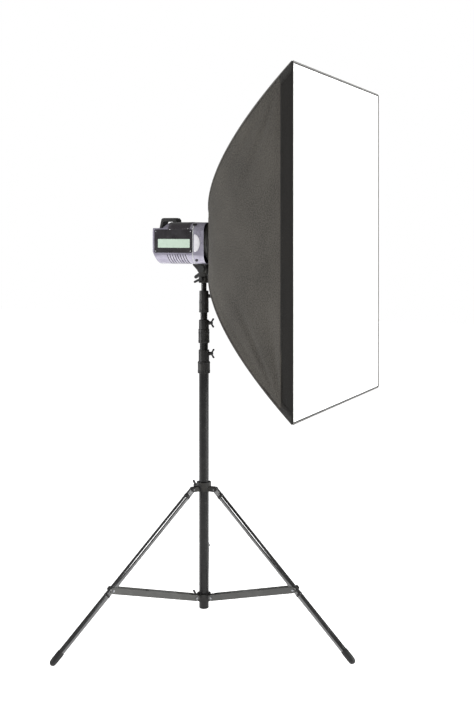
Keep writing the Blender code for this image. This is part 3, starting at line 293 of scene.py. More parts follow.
def woven(name, base, light, pitch, depth, roughness=0.85, contrast=0.5, sheen=0.25):
    """Plain-weave cloth; its threads follow the piece's own flat coordinates, in metres."""
    made = Finish(name, base, roughness, Sheen_Weight=sheen, Sheen_Roughness=0.45, Specular_IOR_Level=0.25)
    wave_period = pi / 10                   # of Blender's wave texture at scale one
    flat = made.place(source="UV")
    threads = []
    for way in ("X", "Y"):
        inputs = {"Vector": flat, "Scale": wave_period / pitch, "Distortion": 0.6, "Detail": 1.0}
        threads.append(made.node("ShaderNodeTexWave", inputs, bands_direction=way).outputs["Fac"])
    weave = made.math("MULTIPLY", *threads)
    grain = made.spread(made.noise(230, 8, source="UV"), 0.37, 0.63)
    cloud = made.spread(made.noise(5, 4, source="UV"), 0.3, 0.7)
    tone = made.math("MULTIPLY", made.math("ADD", grain, made.math("MULTIPLY", cloud, 0.5)), contrast * 0.5)
    lit = made.mix(tone, base, light)
    made.link(made.mix(made.math("MULTIPLY", weave, contrast * 0.35), lit, light), "Base Color")
    made.bump(weave, depth)
    made.bump(made.noise(46, 4, source="UV"), depth * 3.0, 0.5)
    return made


def finishes():
    """Every material, by the name of its slot in the record or of its own piece."""
    made = {
        "black_tube": painted("black_tube", "040404", "1d1c1b", 0.24, 1600, 0.000006, gloss=0.28),
        "polished_tube": painted(
            "polished_tube", "050505", "222221", 0.13, 1600, 0.000002, coat=1.0, gloss=1.0
        ),
        "black_casting": painted("black_casting", "12110e", "45443e", 0.46, 700, 0.00020, gloss=0.35),
        "grey_collar": painted("grey_collar", "0b0a09", "34322d", 0.42, 800, 0.00012, gloss=0.32),
        "grey_steel": painted("grey_steel", "3b3b39", "7b7b76", 0.40, 1000, 0.00008),
        "black_plastic": moulded("black_plastic", "0c0c0c", "2c2c2b", 0.48),
        "black_rubber": moulded("black_rubber", "0b0b0b", "2d2c2a", 0.55, 500, 0.00020),
        "silver_paint": painted(
            "silver_paint", "918d9c", "c4c2cb", 0.30, 2200, 0.00004, metallic=0.65, coat=0.3
        ),
        "dark_panel": moulded("dark_panel", "1b181b", "3a363d", 0.30, 2600, 0.00004),
        "smoked_film": painted("smoked_film", "242024", "4a464e", 0.20, 2400, 0.00001, coat=0.8, gloss=0.8),
        "pale_label": moulded("pale_label", "aebfb0", "93a494", 0.62, 900, 0.00004),
        "pale_plastic": moulded("pale_plastic", "c9c8c2", "9b9a94", 0.45),
        "cast_aluminium": brushed("cast_aluminium", "a9aaad", 0.36, (1, 14, 1)),
        "spring_steel": brushed("spring_steel", "a4a6a8", 0.26, (1, 1, 10)),
        "board_green": moulded("board_green", "14532d", "2d7048", 0.35, 900, 0.00006),
        "capacitor_blue": moulded("capacitor_blue", "22345e", "3a4f80", 0.30, 300, 0.00003),
        "screen_red": moulded("screen_red", "2a0808", "441010", 0.12, 300, 0.00001),
        "dark_fabric": woven("dark_fabric", "181614", "5d5952", 0.0016, 0.00030, contrast=0.95, sheen=0.06),
        "band_fabric": woven("band_fabric", "070605", "1f1b16", 0.0012, 0.00020, contrast=0.50, sheen=0.03),
        "webbing": woven("webbing", "121110", "35332e", 0.0022, 0.00045, contrast=0.5, sheen=0.10),
        "white_fabric": woven(
            "white_fabric", "f7f7f6", "ffffff", 0.0010, 0.00006, 0.9, contrast=0.4, sheen=0.0
        ),
        # Light grey for the front piping; on the corner lines the same grey is painted highlight, standing in for
        # the rim reflection along the rods
        "grey_piping_and_painted_highlight": woven("grey_piping_and_painted_highlight", "5d5c5a", "7e7d7b", 0.0014, 0.00015, contrast=0.4, sheen=0.1),
        "thread": woven("thread", "1b1a17", "4a4842", 0.0008, 0.00010, contrast=0.5, sheen=0.1),
        "silver_lining": brushed("silver_lining", "c9cacc", 0.34, (6, 6, 6)),
        "seam_line": moulded("seam_line", "d3d8cf", "a9aca4", 0.45, 900, 0.00003),
        "white_insert": moulded("white_insert", "c9c7cb", "a4a2ab", 0.40, 1200, 0.00004),
        "screw_steel": brushed("screw_steel", "8d8e91", 0.30, (3, 3, 3)),
    }
    glass = Finish("clear_glass", "f2f6f7", 0.06, Transmission_Weight=0.95, IOR=1.47)
    glass.link(glass.spread(glass.noise(18, 4), 0.4, 0.8, 0.05, 0.16), "Roughness")
    made["clear_glass"] = glass
    return {name: finish.material for name, finish in made.items()}


MATERIALS = {}


# ---------------------------------------------------------------- pieces
def build(name, points, faces, material, body, flat=None, solid=False):
    """A smooth mesh piece that rides on a body; points are measured from the optical axis at the column."""
    mesh = bpy.data.meshes.new(name)
    mesh.from_pydata([AXIS + Vector(point) for point in points], [], faces)
    if solid:
        face_outwards(mesh)
    if flat:
        layer = mesh.uv_layers.new(name="flat")
        for loop in mesh.loops:
            layer.data[loop.index].uv = flat[loop.vertex_index]
    for face in mesh.polygons:
        face.use_smooth = True
    mesh.materials.append(MATERIALS[material])
    made = bpy.data.objects.new(name, mesh)
    bpy.context.scene.collection.objects.link(made)
    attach(made, body)
    return made


def face_outwards(mesh):
    """Turns the faces of a closed form outwards and joins points that coincide."""
    form = bmesh.new()
    form.from_mesh(mesh)
    bmesh.ops.remove_doubles(form, verts=form.verts, dist=0.000002)
    bmesh.ops.recalc_face_normals(form, faces=form.faces)
    form.to_mesh(mesh)
    form.free()


def grid(name, rows, material, body, closed=False, solid=False):
    """A piece from rows of points; closed joins each row's end to its start, solid caps the open ends."""
    wide = len(rows[0])
    points = [point for row in rows for point in row]
    faces = []
    for row in range(len(rows) - 1):
        for at in range(wide if closed else wide - 1):
            after = (at + 1) % wide
            low = row * wide
            high = low + wide
            faces.append((low + at, high + at, high + after, low + after))
    if solid:
        faces.append(tuple(range(wide)))
        faces.append(tuple(range(len(points) - wide, len(points))))
    return build(name, points, faces, material, body, flat_of(rows), solid)


def flat_of(rows):
    """Flat coordinates of rows of points, in metres along the rows and across them."""
    wide = len(rows[0])
    across = 0.0
    result = []
    for index, row in enumerate(rows):
        if index:
            across += (Vector(row[wide // 2]) - Vector(rows[index - 1][wide // 2])).length
        steps = [0.0]
        for at in range(1, wide):
            steps.append(steps[-1] + (Vector(row[at]) - Vector(row[at - 1])).length)
        centre = steps[-1] / 2
        result += [(step - centre, across) for step in steps]
    return result


def thicken(made, thickness, offset=-1.0):
    """Gives a sheet its thickness."""
    solid = made.modifiers.new("thickness", "SOLIDIFY")
    solid.thickness = thickness
    solid.offset = offset
    return made


def tube_rows(path, radius, sides=10, closed=False, squash=1.0):
    """Rows of points round a path; squash flattens the tube."""
    rows = []
    count = len(path)
    for at in range(count):
        if closed:
            ahead = Vector(path[(at + 1) % count]) - Vector(path[at - 1])
        else:
            ahead = Vector(path[min(at + 1, count - 1)]) - Vector(path[max(at - 1, 0)])
        ahead.normalize()
        side = ahead.cross(Vector((0, 1, 0)))
        if side.length < 0.2:
            side = ahead.cross(Vector((0, 0, 1)))
        side.normalize()
        up = side.cross(ahead)
        ring = []
        for step in range(sides):
            turn = 2 * pi * step / sides
            ring.append(Vector(path[at]) + side * (radius * cos(turn)) + up * (radius * squash * sin(turn)))
        rows.append(ring)
    if closed:
        rows.append(rows[0])
    return rows


# ---------------------------------------------------------------- the softbox
def bow(radius):
    """How far forward the fabric's corner line has run at a distance from the optical axis."""
    if radius <= ROD_STRAIGHT:
        return 0.0
    return (BACK - FRONT) * ((radius - ROD_STRAIGHT) / (CORNER_R - ROD_STRAIGHT)) ** ROD_BOW


def radius_at(y):
    """The distance of the corner line from the optical axis at a plane."""
    share = max((BACK - y) / (BACK - FRONT), 0.0)
    return ROD_STRAIGHT + (CORNER_R - ROD_STRAIGHT) * share ** (1 / ROD_BOW)


SIDES = {                       # outward direction of each panel, and its long side's direction
    "left": (Vector((-1, 0, 0)), Vector((0, 0, 1))),
    "right": (Vector((1, 0, 0)), Vector((0, 0, -1))),
    "top": (Vector((0, 0, 1)), Vector((1, 0, 0))),
    "bottom": (Vector((0, 0, -1)), Vector((-1, 0, 0))),
}


def half_sizes(outward):
    """The corner direction's share across a panel's face and along its width."""
    if outward.x:
        return CORNER_X, CORNER_Z
    return CORNER_Z, CORNER_X


def slack(name, across, share):
    """How far a panel dips in at a point, from puckers at the front corners and from slack cloth."""
    edge = 1 - across * across
    dip = 0.0045 * edge * (0.35 + 0.65 * sin(pi * share))
    seed = Vector((across * 2.1, share * 2.6, len(name) * 1.7))
    dip += 0.0028 * edge * field.noise(seed)
    for end in (-1, 1):
        run = (1 - share) * 0.46
        aside = (1 - end * across) * 0.5
        away = hypot(run, aside)
        spoke = atan2(run, aside + 0.001)
        near = max(0.0, 1 - away / 0.42)
        fold = sin(spoke * 13 + end * 1.3) + 0.5 * sin(spoke * 23 + end * 2.1)
        dip += 0.0100 * near * near * edge ** 0.5 * fold
    return dip


def panel_point(name, across, radius, share):
    """A point of a curved panel: across runs from -1 to 1 between two rods."""
    outward, along = SIDES[name]
    face, width = half_sizes(outward)
    dip = slack(name, across, share)
    back = Vector((0, BACK - bow(radius), 0))
    return outward * (face * radius - dip) + along * (width * radius * across) + back


def panels(body):
    """Four curved panels of coated cloth, lined with silver."""
    end = radius_at(FRONT + BAND_W - BAND_LAP)
    for name, area in (("left", 0.405), ("right", 0.405), ("top", 0.345), ("bottom", 0.345)):
        rows = []
        for step in range(RUN_STEPS + 1):
            share = step / RUN_STEPS
            radius = PANEL_START + (end - PANEL_START) * share
            places = [2 * at / SIDE_STEPS - 1 for at in range(SIDE_STEPS + 1)]
            rows.append([panel_point(name, across, radius, share) for across in places])
        cloth = grid(f"{name}_fabric_panel", rows, "dark_fabric", body)
        cloth.data.materials.append(MATERIALS["silver_lining"])
        thicken(cloth, CLOTH_T).modifiers["thickness"].material_offset = 1
    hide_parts("fabric_shell")


def perimeter(half_w, half_h, corner, steps):
    """Points and outward directions round a rectangle with round corners, anticlockwise from the front."""
    result = []
    arc_steps = 6
    for turn, (sx, sz) in enumerate(((1, 1), (-1, 1), (-1, -1), (1, -1))):
        centre = Vector((sx * (half_w - corner), sz * (half_h - corner)))
        for step in range(arc_steps + 1):
            angle = pi / 2 * (turn + step / arc_steps)
            way = Vector((cos(angle), sin(angle)))
            result.append((centre + way * corner, way))
        long_way = Vector((-1, 0)) if turn % 2 == 0 else Vector((0, -1))
        if turn >= 2:
            long_way = -long_way
        length = 2 * ((half_w if turn % 2 == 0 else half_h) - corner)
        start = result[-1]
        for step in range(1, steps):
            result.append((start[0] + long_way * (length * step / steps), start[1]))
    return result


def front_band(body):
    """The black band round the front, with its lip folded in over the diffuser's edge."""
    stations = (0.050, 0.044, 0.034, 0.022, 0.010, 0.002, -0.0008)
    rows = []
    for back in stations:
        radius = radius_at(FRONT + max(back, 0))
        row = []
        for place, way in perimeter(CORNER_X * radius, CORNER_Z * radius, 0.004, 40):
            wave = field.noise(Vector((place.x * 9, place.y * 9, back * 22)))
            lift = 0.0009 + 0.0012 * wave * sin(pi * back / 0.05)
            spot = place + way * lift
            row.append((spot.x, FRONT + back, spot.y))
        rows.append(row)
    lip = [(0.996 * x, y - 0.0004, 0.996 * z) for x, y, z in rows[-1]]
    fold = [(0.992 * x, y + 0.0006, 0.992 * z) for x, y, z in lip]
    rows += [lip, fold]
    band = grid("front_fabric_band", rows, "band_fabric", body, closed=True)
    thicken(band, CLOTH_T)


def corner_strip(name, side_x, side_z, from_y, to_y, width, lift, material, body):
    """A strip of webbing folded over one corner seam."""
    steps = 44
    rows = []
    for step in range(steps + 1):
        y = from_y + (to_y - from_y) * step / steps
        radius = radius_at(y)
        x = side_x * (CORNER_X * radius + lift)
        z = side_z * (CORNER_Z * radius + lift)
        inset = 0.0016
        rows.append([
            (x, y, z - side_z * width), (x, y, z - side_z * width * 0.55), (x, y, z - side_z * inset),
            (x - side_x * inset * 0.3, y, z - side_z * inset * 0.3),
            (x - side_x * inset, y, z), (x - side_x * width * 0.55, y, z), (x - side_x * width, y, z),
        ])
    if side_x * side_z < 0:
        rows = [row[::-1] for row in rows]
    strip = grid(name, rows[::-1], material, body)
    return thicken(strip, CLOTH_T, 1.0)


def stitches(name, lines, body, material="thread"):
    """Short raised stitches along lines of (point, outward direction) pairs."""
    points = []
    faces = []
    for line in lines:
        run = 0.0
        for at in range(len(line) - 1):
            start, out = Vector(line[at][0]), Vector(line[at][1])
            ahead = Vector(line[at + 1][0]) - start
            length = ahead.length
            if length < 1e-6:
                continue
            ahead /= length
            side = ahead.cross(out).normalized() * STITCH_R
            while run < length:
                base = len(points)
                for along, rise in ((0, 0.0), (STITCH_L / 2, STITCH_R * 1.8), (STITCH_L, 0.0)):
                    spot = start + ahead * (run + along) + out * (rise + STITCH_R * 0.4)
                    points += [spot + side, spot + out * STITCH_R, spot - side, spot - out * STITCH_R]
                for ring in (0, 4):
                    for edge in range(4):
                        after = (edge + 1) % 4
                        low = base + ring
                        faces.append((low + edge, low + after, low + 4 + after, low + 4 + edge))
                faces.append((base, base + 1, base + 2, base + 3))
                faces.append((base + 8, base + 9, base + 10, base + 11))
                run += STITCH_PITCH
            run -= length
    flat = [(point.x + point.y, point.z) for point in points]
    return build(name, points, faces, material, body, flat, solid=True)


def seam_work(body):
    """Webbing over the four corner seams, corner pockets at the rod ends and every stitch line."""
    band_y = FRONT + BAND_W
    start_y = BACK - bow(PANEL_START + 0.004)
    pocket_y = FRONT + 0.046
    lines = []
    pocket_lines = []
    number = 0
    for side_x in (-1, 1):
        for side_z in (-1, 1):
            number += 1
            path = []
            for step in range(49):
                y = start_y + (FRONT + 0.003 - start_y) * step / 48
                radius = radius_at(y) + 0.0022
                path.append(Vector((side_x * CORNER_X * radius, y, side_z * CORNER_Z * radius)))
            # A thin light-grey tube along each corner line: painted highlight standing in for the rim reflection
            # on the cloth over the rod
            piping = tube_rows(path, CORNER_HIGHLIGHT_R, 8)
            grid(f"corner_painted_highlight_{number}", piping, "grey_piping_and_painted_highlight", body, True, True)
            corner_strip(f"corner_binding_{number}", side_x, side_z, start_y, band_y, BINDING_W, 0.0004,
                         "dark_fabric", body)
            corner_strip(f"corner_pocket_{number}", side_x, side_z, pocket_y, FRONT + 0.002, POCKET_W, 0.0016,
                         "webbing", body)
            for lines_of, from_y, to_y, width, lift in (
                (lines, start_y, band_y, BINDING_W - 0.0015, 0.0012),
                (pocket_lines, pocket_y, FRONT + 0.004, POCKET_W - 0.002, 0.0025),
            ):
                for face in ("x", "z"):
                    line = []
                    for step in range(45):
                        y = from_y + (to_y - from_y) * step / 44
                        radius = radius_at(y)
                        x = CORNER_X * radius + (lift if face == "x" else -width)
                        z = CORNER_Z * radius + (lift if face == "z" else -width)
                        out = (side_x, 0, 0) if face == "x" else (0, 0, side_z)
                        line.append(((side_x * x, y, side_z * z), out))
                    lines_of.append(line)
    for back in (BAND_W - 0.0025, BAND_W - 0.0085):
        radius = radius_at(FRONT + back)
        loop = perimeter(CORNER_X * radius, CORNER_Z * radius, 0.004, 40)
        line = [((p.x + w.x * 0.002, FRONT + back, p.y + w.y * 0.002), (w.x, 0, w.y)) for p, w in loop]
        lines.append(line + line[:1])
    stitches("seam_stitches", lines + pocket_lines, body)


def rear_flap(body):
    """The flat rear of the fabric, gathered towards the elastic hem round the ring."""
    around = 192
    rings = 16
    rows = []
    for ring in range(rings + 1):
        share = ring / rings
        row = []
        for at in range(around):
            angle = 2 * pi * at / around
            way = Vector((cos(angle), 0, sin(angle)))
            reach = PANEL_START / max(abs(way.x) / CORNER_X, abs(way.z) / CORNER_Z)
            radius = HEM_R + (reach - HEM_R) * share
            corner = max(0.0, radius - ROD_STRAIGHT)
            depth = bow(PANEL_START) * (share ** 2) * (1 if corner else 0.6)
            gather = 0.0011 * (1 - share) ** 0.8 * sin(angle * 36 + 2.2 * sin(angle * 5))
            sag = 0.0010 * sin(pi * share) * field.noise(way * 3.1)
            row.append(way * radius + Vector((0, BACK - depth + gather + sag + 0.0012 * (1 - share), 0)))
        rows.append(row)
    flap = grid("rear_fabric_flap", rows, "dark_fabric", body, closed=True)
    thicken(flap, CLOTH_T)
    path = []
    for at in range(around):
        angle = 2 * pi * at / around
        ripple = 0.0004 * sin(angle * 36)
        path.append(Vector((cos(angle) * (HEM_R + ripple), BACK + 0.0018, sin(angle) * (HEM_R + ripple))))
    hem = tube_rows(path, HEM_CORD_R, 10, closed=True)
    grid("elastic_hem", hem, "band_fabric", body, closed=True)


def diffuser(name, node, half_w, half_h, y, crown, hem, body):
    """A stretched sheet of white cloth with a turned hem."""
    wide, tall = 44, 54
    rows = []
    for row in range(tall + 1):
        v = 2 * row / tall - 1
        line = []
        for column in range(wide + 1):
            u = 2 * column / wide - 1
            puff = crown * (1 - u ** 4) * (1 - v ** 4)
            puff += 0.0006 * field.noise(Vector((u * 3.0, v * 3.5, half_w * 10))) * (1 - u * u) * (1 - v * v)
            line.append((u * half_w, y - puff, v * half_h))
        rows.append(line)
    sheet = grid(name, rows[::-1], "white_fabric", body)
    thicken(sheet, CLOTH_T, 0.0)
    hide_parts(node)
    edge = []
    for inward, lift in ((0.0, 0.0002), (0.0, 0.0011), (hem * 0.5, 0.0014), (hem, 0.0011), (hem, 0.0002)):
        loop = perimeter(half_w - inward, half_h - inward, 0.004, 40)
        edge.append([(p.x, y - lift - 0.0002, p.y) for p, _ in loop])
    turned = grid(f"{name}_hem", edge, "white_fabric", body, closed=True)
    loop = perimeter(half_w - hem + 0.002, half_h - hem + 0.002, 0.004, 40)
    line = [((p.x, y - 0.0016, p.y), (0, -1, 0)) for p, _ in loop]
    thread = stitches(f"{name}_stitches", [line + line[:1]], body, "white_fabric")
    return sheet


def diffusers(body):
    """The front cloth with its grey piping, and the smaller inner cloth on its elastic tabs."""
    diffuser("front_diffuser_cloth", "front_diffuser", HALF_W - 0.0035, HALF_H - 0.0035, FRONT + 0.0012, 0.0022,
             0.012, body)
    loop = perimeter(HALF_W - 0.0012, HALF_H - 0.0012, 0.004, 60)
    path = [Vector((p.x, FRONT - 0.0012, p.y)) for p, _ in loop]
    piping = tube_rows(path, FRONT_PIPING_R, 8, closed=True)
    grid("front_piping", piping, "grey_piping_and_painted_highlight", body, closed=True)
    low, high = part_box("inner_diffuser")
    half = (high - low) / 2
    y = (low.y + high.y) / 2 - AXIS.y
    diffuser("inner_diffuser_cloth", "inner_diffuser", half.x, half.z, y, 0.0008, 0.010, body)
    radius = radius_at(y) - 0.016
    for number, (side_x, side_z) in enumerate(((-1, -1), (-1, 1), (1, -1), (1, 1)), 1):
        inner = Vector((side_x * (half.x - 0.006), y, side_z * (half.z - 0.006)))
        outer = Vector((side_x * CORNER_X * radius, y, side_z * CORNER_Z * radius))
        reach = (outer - inner).normalized()
        aside = Vector((-reach.z, 0, reach.x)) * 0.0055
        rows = []
        for step in range(9):
            spot = inner.lerp(outer, step / 8) + Vector((0, 0.0020 + 0.0006 * sin(step * pi / 2), 0))
            rows.append([spot - aside, spot - aside * 0.3, spot + aside * 0.3, spot + aside])
        thicken(grid(f"elastic_tab_{number}", rows, "webbing", body), 0.0012, 0.0)


# ---------------------------------------------------------------- fittings on the head and the stand
def lathe(name, profile, centre, way, sides, material, body):
    """A turned piece: profile is (radius, height) pairs, and heights run along way from centre."""
    way = Vector(way).normalized()
    turn = way.to_track_quat("Z", "Y")
    rows = []
    for radius, height in profile:
        row = []
        for step in range(sides):
            angle = 2 * pi * step / sides
            row.append(Vector(centre) + turn @ Vector((radius * cos(angle), radius * sin(angle), height)))
        rows.append(row)
    closed_profile = profile[0] == profile[-1]
    return grid(name, rows, material, body, True, not closed_profile)


def screw(name, centre, way, radius, body, material="screw_steel"):
    """A low cap screw with a round recess in its head."""
    profile = [(radius, -0.0004), (radius, radius * 0.32), (radius * 0.84, radius * 0.46),
               (radius * 0.46, radius * 0.46), (radius * 0.42, radius * 0.05), (radius * 0.05, 0.0)]
    return lathe(name, profile, centre, way, 18, material, body)


def ridge(name, radius, centre, way, width, rise, material, body, sides=48):
    """A rounded band round a tube."""
    half = width / 2
    inner = radius - 0.0004
    shoulder = radius + rise * 0.7
    profile = [(inner, -half), (shoulder, -half * 0.8), (radius + rise, 0), (shoulder, half * 0.8),
               (inner, half), (inner, -half)]
    return lathe(name, profile, centre, way, sides, material, body)


def from_axis(node):
    """A CAD node's lowest and highest corner, measured from the optical axis at the column."""
    low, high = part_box(node)
    return low - AXIS, high - AXIS


def head_trim(body):
    """The seam line, the pale inserts, screws, latches, grip ribs and dial marks of the flash head."""
    low, high = from_axis("head_housing")
    half_w = high.x
    middle_z = (low.z + high.z) / 2
    half_h = (high.z - low.z) / 2
    rows = []
    section = ((-0.0009, -0.0002), (-0.0006, 0.0004), (0.0006, 0.0004), (0.0009, -0.0002), (-0.0009, -0.0002))
    for along, rise in section:
        loop = perimeter(half_w + rise, half_h + rise, HOUSING_CORNER + rise, 12)
        rows.append([(p.x, SEAM_Y + along, middle_z + p.y) for p, _ in loop])
    grid("housing_seam", rows, "seam_line", body, True)
    for side, label in ((-1, "left"), (1, "right")):
        rows = []
        for scale, rise in ((1, -0.0003), (1, 0.0008), (0.95, 0.0014), (0.6, 0.0018), (0.02, 0.0019)):
            row = []
            for step in range(40):
                angle = 2 * pi * step / 40
                bulge = INSERT_DEPTH * max(cos(angle), 0.0) if cos(angle) > 0 else 0.0012 * cos(angle)
                y = INSERT_Y - bulge * scale
                z = INSERT_Z + INSERT_HALF * sin(angle) * scale
                row.append((side * (half_w + rise), y, z))
            rows.append(row)
        grid(f"{label}_pale_insert", rows, "white_insert", body, True, True)
        panel_low, panel_high = from_axis(f"{label}_side_panel")
        face = panel_low.x if side < 0 else panel_high.x
        for number, (y, z) in enumerate(corners_of(panel_low, panel_high, 0.0065), 1):
            screw(f"{label}_panel_screw_{number}", (face, y, z), (side, 0, 0), 0.0024, body)
        lean = Vector((side * 0.827, 0, -0.562))
        arc_middle = Vector((side * (half_w - HOUSING_CORNER), -0.002, low.z + HOUSING_CORNER))
        spot = arc_middle + lean * HOUSING_CORNER
        button = [(0.0052, -0.0006), (0.0052, 0.0016), (0.0040, 0.0024), (0.0004, 0.0026)]
        lathe(f"{label}_lower_latch", button, spot, lean, 24, "black_plastic", body)
    head_skins(body)
    rear_low, rear_high = from_axis("rear_panel")
    for number, (x, z) in enumerate(((-0.056, 0.036), (0.056, 0.036), (-0.052, -0.034), (0.052, -0.034)), 1):
        screw(f"rear_panel_screw_{number}", (x, rear_high.y, z), (0, 1, 0), 0.0026, body)
    grip_low, grip_high = from_axis("carry_handle")
    middle_x = (grip_low.x + grip_high.x) / 2
    for number in range(9):
        y = grip_low.y + 0.012 + number * (grip_high.y - grip_low.y - 0.026) / 8
        rows = []
        for x in (-0.0135, -0.0125, 0.0125, 0.0135):
            flat_end = 0.2 if abs(x) > 0.013 else 1.0
            row = []
            for step in range(8):
                angle = 2 * pi * step / 8
                rise = 0.0008 * flat_end * sin(angle)
                row.append((middle_x + x, y + 0.0013 * flat_end * cos(angle), grip_high.z + rise))
            rows.append(row)
        grid(f"grip_rib_{number + 1}", rows, "black_rubber", body, True, True)
    dial_low, dial_high = from_axis("power_dial")
    centre = (dial_low + dial_high) / 2
    for number in range(11):
        angle = radians(-140 + 28 * number)
        way = Vector((sin(angle), 0, cos(angle)))
        spot = Vector((centre.x, rear_high.y, centre.z)) + way * 0.0142
        length = 0.0030 if number % 5 == 0 else 0.0018
        tick(f"dial_mark_{number + 1}", spot, way, length, body)
    start = Vector((centre.x, dial_high.y, centre.z)) + Vector((0, 0, 0.0015))
    tick("dial_pointer", start, Vector((0, 0, 1)), 0.0080, "dial")
    ring_low, ring_high = from_axis("bayonet_ring")
    for number, share in enumerate((0.12, 0.46, 0.80), 1):
        y = ring_high.y + (ring_low.y - ring_high.y) * share
        ridge(f"ring_ridge_{number}", ring_high.z, (0, y, 0), (0, 1, 0), 0.0030, 0.0012, "black_casting", body,
              72)


def head_skins(body):
    """The smoked film over the housing's top, and a black sheet of painted shade just inside the vent slots on
    each side, standing in for the shadow inside them.
    """
    low, high = from_axis("head_housing")
    corner_x = high.x - HOUSING_CORNER
    steps = 10
    top_z = high.z - HOUSING_CORNER
    radius = HOUSING_CORNER + FILM_LIFT
    arc = []
    for step in range(steps + 1):
        angle = FILM_START + (pi / 2 - FILM_START) * step / steps
        arc.append((corner_x + radius * cos(angle), top_z + radius * sin(angle)))
    section = [(-x, z) for x, z in arc] + arc[::-1]
    rows = [[(x, y, z) for x, z in section] for y in spaced(*FILM_Y, 6)]
    thicken(grid("smoked_top_film", rows, "smoked_film", body), FILM_T)
    low_z = low.z + HOUSING_CORNER
    radius = HOUSING_CORNER - VENT_SHADE_GAP
    # A black sheet just inside each side's vent slots: painted shade standing in for the shadow inside them
    for side, label in ((-1, "left"), (1, "right")):
        section = [(side * (corner_x + radius), VENT_SHADE_TOP)]
        for step in range(steps + 1):
            angle = pi / 2 * step / steps
            section.append((side * (corner_x + radius * cos(angle)), low_z - radius * sin(angle)))
        rows = [[(x, y, z) for x, z in section] for y in spaced(*VENT_SHADE_Y, 6)]
        thicken(grid(f"{label}_vent_painted_shade", rows, "black_plastic", body), FILM_T, 0.0)


def spaced(start, end, steps):
    """Evenly spaced values from a start to an end."""
    return [start + (end - start) * step / steps for step in range(steps + 1)]


def corners_of(low, high, inset):
    """Four points inside the corners of a side panel, as (y, z)."""
    return [(y, z) for y in (low.y + inset, high.y - inset) for z in (low.z + inset, high.z - inset)]


def tick(name, start, way, length, body):
    """A short raised pale line on a face that looks backwards."""
    aside = Vector((way.z, 0, -way.x)) * 0.0004
    rows = []
    for rise, grow in ((-0.0001, 1.0), (0.0002, 1.0), (0.0003, 0.5)):
        lift = Vector((0, rise, 0))
        rows.append([start + aside * grow + lift, start + way * length + aside * grow + lift,
                     start + way * length - aside * grow + lift, start - aside * grow + lift])
    return grid(name, rows, "pale_plastic", body, True, True)


def pin_ends(node, pivot, axis):
    """The middles of a node's outermost faces along a hinge's axis, on both sides and at both ends."""
    spots = [vertex.co - pivot for vertex in frame["nodes"][node].data.vertices]
    result = []
    for way in (axis, -axis):
        reach = max(spot.dot(way) for spot in spots)
        outer = [spot for spot in spots if spot.dot(way) > reach - PIN_DEPTH]
        near = [spot for spot in outer if spot.length < PIN_SPLIT]
        far = [spot for spot in outer if spot.length > PIN_SPLIT]
        for group in (near, far):
            if group:
                result.append((pivot + sum(group, Vector()) / len(group), way))
    return result


def rivets(homes):
    """Bright rivet heads on the hinge pins of the legs and braces."""
    head = [(0.0042, -0.0003), (0.0042, 0.0005), (0.0032, 0.0012), (0.0004, 0.0014)]
    for joint in frame["joints"]:
        node = joint["name"].removesuffix("_swing")
        if node == joint["name"]:
            continue
        ends = pin_ends(node, Vector(joint["pos_m"]), Vector(joint["axis"]))
        for number, (spot, way) in enumerate(ends, 1):
            lathe(f"{node}_rivet_{number}", head, spot - AXIS, way, 20, "screw_steel", homes[node])


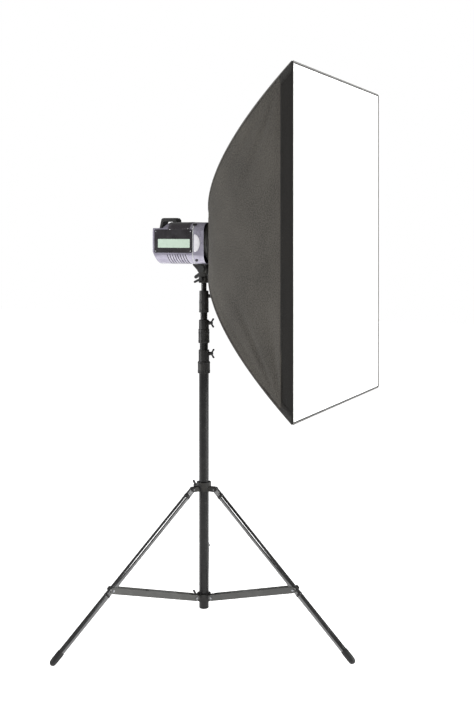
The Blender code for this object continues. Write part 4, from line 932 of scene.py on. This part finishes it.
def stand_trim():
    """Ridges on the collars and feet, ferrules on the legs, and the steel ends of the knob screws."""
    homes = {node: body for body, nodes in frame["record"]["behaviour"]["bodies"].items() for node in nodes}
    foot_of_column = Vector((COLUMN.x, COLUMN.y, 0)) - AXIS
    rivets(homes)
    for number in (1, 2, 3):
        node = f"clamp_collar_{number}"
        low, high = from_axis(node)
        radius = (high.x - low.x) / 2
        for place, height in enumerate((0.0035, 0.0085, 0.0360), 1):
            ridge(f"collar_{number}_ridge_{place}", radius, (0, 0, low.z + height), (0, 0, 1), 0.0030, 0.0007,
                  "grey_collar", homes[node])
    pivots = {joint["name"]: Vector(joint["pos_m"]) for joint in frame["joints"] if joint["type"] == "hinge"}
    for number in (1, 2, 3):
        pivot = pivots[f"leg_{number}_swing"] - AXIS
        out = (pivot - foot_of_column) * Vector((1, 1, 0))
        out.normalize()
        drop = pivot.z - foot_of_column.z - FOOT_CENTRE
        reach = (LEG_LENGTH ** 2 - drop ** 2) ** 0.5
        way = (out * reach - Vector((0, 0, drop))).normalized()
        body = homes[f"leg_{number}"]
        tip = lathe(f"foot_{number}_sleeve", FOOT_PROFILE, pivot, way, 28, "black_rubber", body)
        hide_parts(f"foot_{number}")
        for place, run in enumerate((0.705, 0.711, 0.717, 0.723), 1):
            ridge(f"foot_{number}_ridge_{place}", FOOT_R, pivot + way * run, way, 0.0026, 0.0004,
                  "black_rubber", body, 32)
        ridge(f"leg_{number}_ferrule", LEG_R, pivot + way * 0.032, way, 0.0120, 0.0007, "black_plastic", body,
              32)
        ridge(f"leg_{number}_band", LEG_R, pivot + way * 0.462, way, 0.0080, 0.0006, "black_plastic", body,
              32)
    knobs = [f"clamp_knob_{number}" for number in (1, 2, 3)] + ["leg_collar_knob", "brace_collar_knob"]
    for node in knobs:
        low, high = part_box(node)
        way = ((low + high) / 2 - COLUMN) * Vector((1, 1, 0))
        way.normalize()
        points = [vertex.co - COLUMN for vertex in frame["nodes"][node].data.vertices]
        level = (low.z + high.z) / 2 - COLUMN.z
        near = [p.dot(way) for p in points if (p - way * p.dot(way) - Vector((0, 0, level))).length < HUB_R]
        end = COLUMN + way * max(near) + Vector((0, 0, level)) - AXIS
        screw(f"{node}_screw_end", end, way, 0.0036, homes[node])


# ---------------------------------------------------------------- the CAD pieces that stay
EDGE_W = 0.0005


def dress_cad():
    """Gives each CAD node its material, rounded edges and smooth shading."""
    slots = {part["node"]: part["material_slot"] for part in frame["record"]["subparts"]}
    for name, node in frame["nodes"].items():
        node.data.materials.clear()
        finish = "polished_tube" if name.startswith("leg_") and name[-1].isdigit() else slots[name]
        node.data.materials.append(MATERIALS[finish])
        for face in node.data.polygons:
            face.use_smooth = True
        weld = node.modifiers.new("weld", "WELD")
        weld.merge_threshold = 0.00001
        bevel = node.modifiers.new("edges", "BEVEL")
        bevel.width = EDGE_W
        bevel.segments = 2
        bevel.limit_method = "ANGLE"
        bevel.angle_limit = radians(38)
        node.modifiers.new("normals", "WEIGHTED_NORMAL").keep_sharp = True


camera()
studio()
MATERIALS.update(finishes())
dress_cad()
SOFTBOX = "softbox"
panels(SOFTBOX)
front_band(SOFTBOX)
seam_work(SOFTBOX)
rear_flap(SOFTBOX)
diffusers(SOFTBOX)
head_trim("head")
stand_trim()
